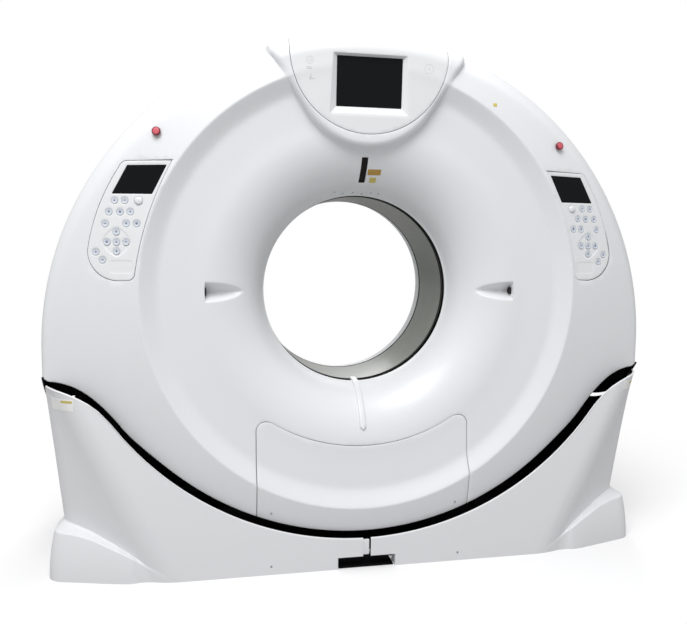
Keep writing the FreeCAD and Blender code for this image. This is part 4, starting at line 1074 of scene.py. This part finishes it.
def base_form(start):
    """Sections of the right half of a base cover, from an x near the middle to the seam at the side."""
    span, roof = RIDGE - start, 44.0
    columns = [((x - start) / span, roof if x < NOTCH else 0.0) for x in np.arange(start, RIDGE, 14.0)]
    edge = (NOTCH - start) / span
    columns += [(edge - 2e-5, roof), (edge + 2e-5, 0.0)]
    columns += [(float(a), 0.0) for a in [*np.linspace(0.985, 2.0, 66), *np.linspace(2.0, 3.0, 46)[1:]]]
    return [base_column(at, start, floor) for at, floor in sorted(columns)]


def cover_from(columns, lip=71):
    """Moulding from its sections. The first points up to the lip are white; the others are painted black as
    shade.
    """
    form = Form()
    form.grid([column[:lip] for column in columns])
    form.grid([column[lip - 1:] + column[:1] for column in columns], slot=SHADE_SIDE)
    for column in (columns[0], columns[-1]):
        form.add(column, [tuple(range(len(column)))], SHADE_SIDE)
    return form


def upright(u, v, w):
    return u, w, v


def plate_xz(form, corners, y0, y1):
    slab(form, softened(corners, 3.0, step=20.0), upright, y0, y1, 1.2)


def flange(form, start):
    """Return flange round the cable notch."""
    corners = [(start, 44.5), (107.6, 44.5), (107.6, 0.5), (115.5, 0.5), (115.5, 51.5), (start, 51.5)]
    outline = chain(*[line(a, b, 30) for a, b in zip(corners, corners[1:] + corners[:1])])[:-1]
    slab(form, outline, upright, -476.5, -436.0, 1.0)


for side, start in (("right", 15.0), ("left", 14.0)):
    form = cover_from(base_form(start))
    flange(form, start)
    form = handed(form, side)
    if side == "left":
        plate_xz(form, rect(-15, 9, 50, 107), -476.0, -470.0)
    form.piece(side + "_base", "base", [BASE_WHITE, SHADE_BLACK], [side + "_base_cover"], "white_cover")
half = [[(x, 0.0 - y, z) for x, y, z in column] for column in base_form(0.0)]
form = cover_from([[(-x, y, z) for x, y, z in column] for column in half[:0:-1]] + half, 67)
form.piece("rear_base", "base", [BASE_WHITE, SHADE_BLACK], ["rear_base_cover"], "white_cover")


# ---- small fittings
def screws(form, profile, places):
    for place in places:
        lathe(form, profile, place, (0, 1, 0), 20)


form = Form()
screws(form, [(3.6, 4.0), (3.6, 0.0), (3.2, -0.35), (1.6, -0.35), (1.4, 1.5), (0.2, 1.5)],
       [(x, -477.3, 31.0) for x in (-353.0, 353.0)])
form.piece("base_screws", "base", [BLACK])
# Black flanges at the ends of the gap: painted shade that closes the view into the sides.
form = Form()
for y in (-356.0, 350.0):
    for x0, x1 in ((-1100, -985), (985, 1100)):
        plate_xz(form, rect(x0, x1, 655, 712), y, y + 6.0)
form.piece("seat_flanges_painted_shade", "gantry", [SHADE_BLACK])
# Black tray over the floor inside the base: painted shade seen through the gap.
form = Form()
tray = [(-1035, -380), (-104, -380), (-104, -470), (104, -470), (104, -380), (1035, -380), (1035, 380),
        (-1035, 380)]
slab(form, softened(tray, 6.0, step=80), lambda u, v, w: (u, v, w), 0.4, 3.4, 1.0)
form.piece("floor_tray_painted_shade", "base", [SHADE_BLACK])
form = Form()
head = 4.2
screws(form, [(head, 3.0), (head, -0.3), (head * 0.85, -1.0), (head * 0.45, -1.0), (head * 0.4, 0.6),
              (0.2, 0.6)], [(x, front_at(x, 217.0) - 0.2, 217.0) for x in (-350.0, 350.0)])
form.piece("door_screws", "gantry", [SCREW])


def decal(form, sides, out=0.7, parts=(10, 5), slot=0, face=front_face):
    """Thin blank plate on a moulded face, its edges let into it."""
    a, b, c, d = (np.array(p, float) for p in rect(*sides))
    across, down = ([(0, True)] + [(k / n, False) for k in range(n + 1)] + [(1, True)] for n in parts)
    rows = []
    for v, deep_v in down:
        row = []
        for u, deep_u in across:
            x, z = (a * (1 - u) + b * u) * (1 - v) + (d * (1 - u) + c * u) * v
            y = float(face(x, z))
            n = Vector((float(face(x + 1, z)) - y, -1, float(face(x, z + 1)) - y)).normalized()
            row.append(Vector((x, y, z)) + n * (-1.5 if deep_u or deep_v else out))
        rows.append(row)
    form.grid(rows, slot=slot)


def base_front(x, z):
    """Depth of the base's front at a place on its outer corner."""
    course = [base_point(at, float(z), 15.0) for at in np.linspace(0.8, 2.0, 200)]
    return np.interp(abs(float(x)), [p.x for p in course], [p.y for p in course])


form = Form()
decal(form, (16, 65, 1449, 1468))
form.piece("orange_plate", "gantry", [ORANGE])
form = Form()
decal(form, (28, 52, 1424, 1440))
decal(form, (463, 478, 1698, 1710), parts=(3, 3))
form.piece("yellow_plates", "gantry", [YELLOW])
form = Form()
for x0, x1, z0, z1 in ((-1097, -1017, 622, 663), (1025, 1095, 634, 668)):
    decal(form, (x0, x1, z0, z1), face=base_front)
    decal(form, (x0 + (x1 - x0) * 0.45, x1 - 4, z1 - 12, z1 - 4), 1.0, slot=1, face=base_front)
form.piece("base_plates", "base", [LABEL, YELLOW])
form = Form()
decal(form, (-100, 85, 1381, 1397), 0.5, (24, 3))
form.piece("rim_strip", "gantry", [PANEL_WHITE])
form = Form()
for x, z in ((-96, 1389), (-60, 1386), (-22, 1391), (16, 1387), (49, 1390), (78, 1387)):
    decal(form, (x - 2.2, x + 2.2, z - 1.0, z + 1.0), 0.9, (1, 1))
form.piece("rim_marks", "gantry", [MARK_DARK])


# ---- finishes of the CAD parts that show
SHOWN = {"laser_windows": WARM_GLASS, "panel_screens": SCREEN, "display_screen": SCREEN, "base_frame": DARK_FRAME_SHADE,
         "pivot_bearings": BEARING, "tilt_gearmotor": BEARING, "tilt_pinion": GEAR, "tilt_frame": DARK_FRAME_SHADE,
         "bearing_outer_ring": GEAR, "rotor_drum": ROTOR, "xray_tube": TUBE, "detector_array": DETECTOR,
         "high_voltage_unit": TUBE, "slip_ring": SLIP}
for name, finish in SHOWN.items():
    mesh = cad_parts[name].data
    mesh.materials.clear()
    mesh.materials.append(finish)


# ---- stage, light and camera
def floor_material():
    """Pale floor that fades to white far off; light that isn't seen by the camera meets a darker one."""
    mat = bpy.data.materials.new("pale_floor")
    mat.use_nodes = True
    tree = mat.node_tree
    shader, output = tree.nodes["Principled BSDF"], tree.nodes["Material Output"]
    for entry, value in (("Roughness", 0.9), ("Specular IOR Level", 0.1), ("Emission Color", (1, 1, 1, 1)),
                         ("Emission Strength", 0.06)):
        shader.inputs[entry].default_value = value
    noise, path = node(tree, "TexNoise", Scale=0.4), node(tree, "LightPath")
    pale = colour_mix(tree, A=(0.845, 0.845, 0.85, 1), B=(0.865, 0.865, 0.87, 1))
    seen = colour_mix(tree, A=(0.42, 0.42, 0.42, 1))
    place, far = node(tree, "TexCoord"), node(tree, "VectorMath")
    far.operation = "LENGTH"
    fade = node(tree, "MapRange", From_Min=1.7, From_Max=2.8)
    fade.interpolation_type = "SMOOTHSTEP"
    share = node(tree, "Math")
    share.operation = "MULTIPLY"
    glow, blend = node(tree, "Emission"), node(tree, "MixShader")
    link(tree, (noise, "Fac", pale, "Factor"), (path, "Is Camera Ray", seen, "Factor"),
         (pale, "Result", seen, "B"), (seen, "Result", shader, "Base Color"), (place, "Object", far, 0),
         (far, "Value", fade, "Value"), (fade, "Result", share, 0), (path, "Is Camera Ray", share, 1),
         (share, 0, blend, 0), (shader, 0, blend, 1), (glow, 0, blend, 2), (blend, 0, output, "Surface"))
    return mat


def stage_floor():
    mesh = bpy.data.meshes.new("floor")
    work = bmesh.new()
    bmesh.ops.create_grid(work, x_segments=2, y_segments=2, size=14)
    work.to_mesh(mesh)
    work.free()
    mesh.materials.append(floor_material())
    thing = place_object("floor", mesh)


def area(name, place, target, size, power):
    lamp = bpy.data.lights.new(name, "AREA")
    lamp.shape = "RECTANGLE"
    lamp.size, lamp.size_y = size
    lamp.energy = power
    thing = place_object(name, lamp)
    thing.location = place
    thing.rotation_mode = "QUATERNION"
    thing.rotation_quaternion = (Vector(target) - Vector(place)).to_track_quat("-Z", "Y")


def studio():
    """White world: full white to the camera, weaker as light."""
    world = bpy.data.worlds.new("studio")
    bpy.context.scene.world = world
    world.use_nodes = True
    tree = world.node_tree
    lit = tree.nodes["Background"]
    lit.inputs["Color"].default_value = (1, 1, 1, 1)
    lit.inputs["Strength"].default_value = 0.55
    seen = node(tree, "Background", Color=(1, 1, 1, 1), Strength=1.0)
    path, mix = node(tree, "LightPath"), node(tree, "MixShader")
    link(tree, (path, "Is Camera Ray", mix, 0), (lit, 0, mix, 1), (seen, 0, mix, 2),
         (mix, 0, tree.nodes["World Output"], "Surface"))


def photo_camera():
    """The photo's point of view."""
    camera = place_object("camera", bpy.data.cameras.new("camera"))
    camera.data.lens, camera.data.sensor_width = 37.42, 36.0
    camera.data.clip_start, camera.data.clip_end = 0.05, 60
    yaw, pitch, roll = math.radians(11.06), math.radians(-4.97), math.radians(0.39)
    ahead = Vector((math.sin(yaw) * math.cos(pitch), math.cos(yaw) * math.cos(pitch), math.sin(pitch)))
    right = Vector((math.cos(yaw), -math.sin(yaw), 0))
    across = right * math.cos(roll) + right.cross(ahead) * math.sin(roll)
    camera.rotation_mode = "QUATERNION"
    camera.rotation_quaternion = Matrix((across, across.cross(ahead), -ahead)).transposed().to_quaternion()
    camera.location = (-0.581, -2.967, 1.172)
    return camera


stage_floor()
studio()
area("key", (-1.25, -3.25, 5.25), (0, -0.45, 1.1), (3.0, 3.0), 236)
area("top", (0.3, 0.4, 4.6), (0, 0, 1.0), (3.6, 3.0), 30)
area("back", (1.4, 4.6, 3.6), (0, 0, 1.0), (3.0, 3.0), 90)
bpy.context.scene.camera = photo_camera()
bpy.context.scene.view_settings.view_transform = "Standard"
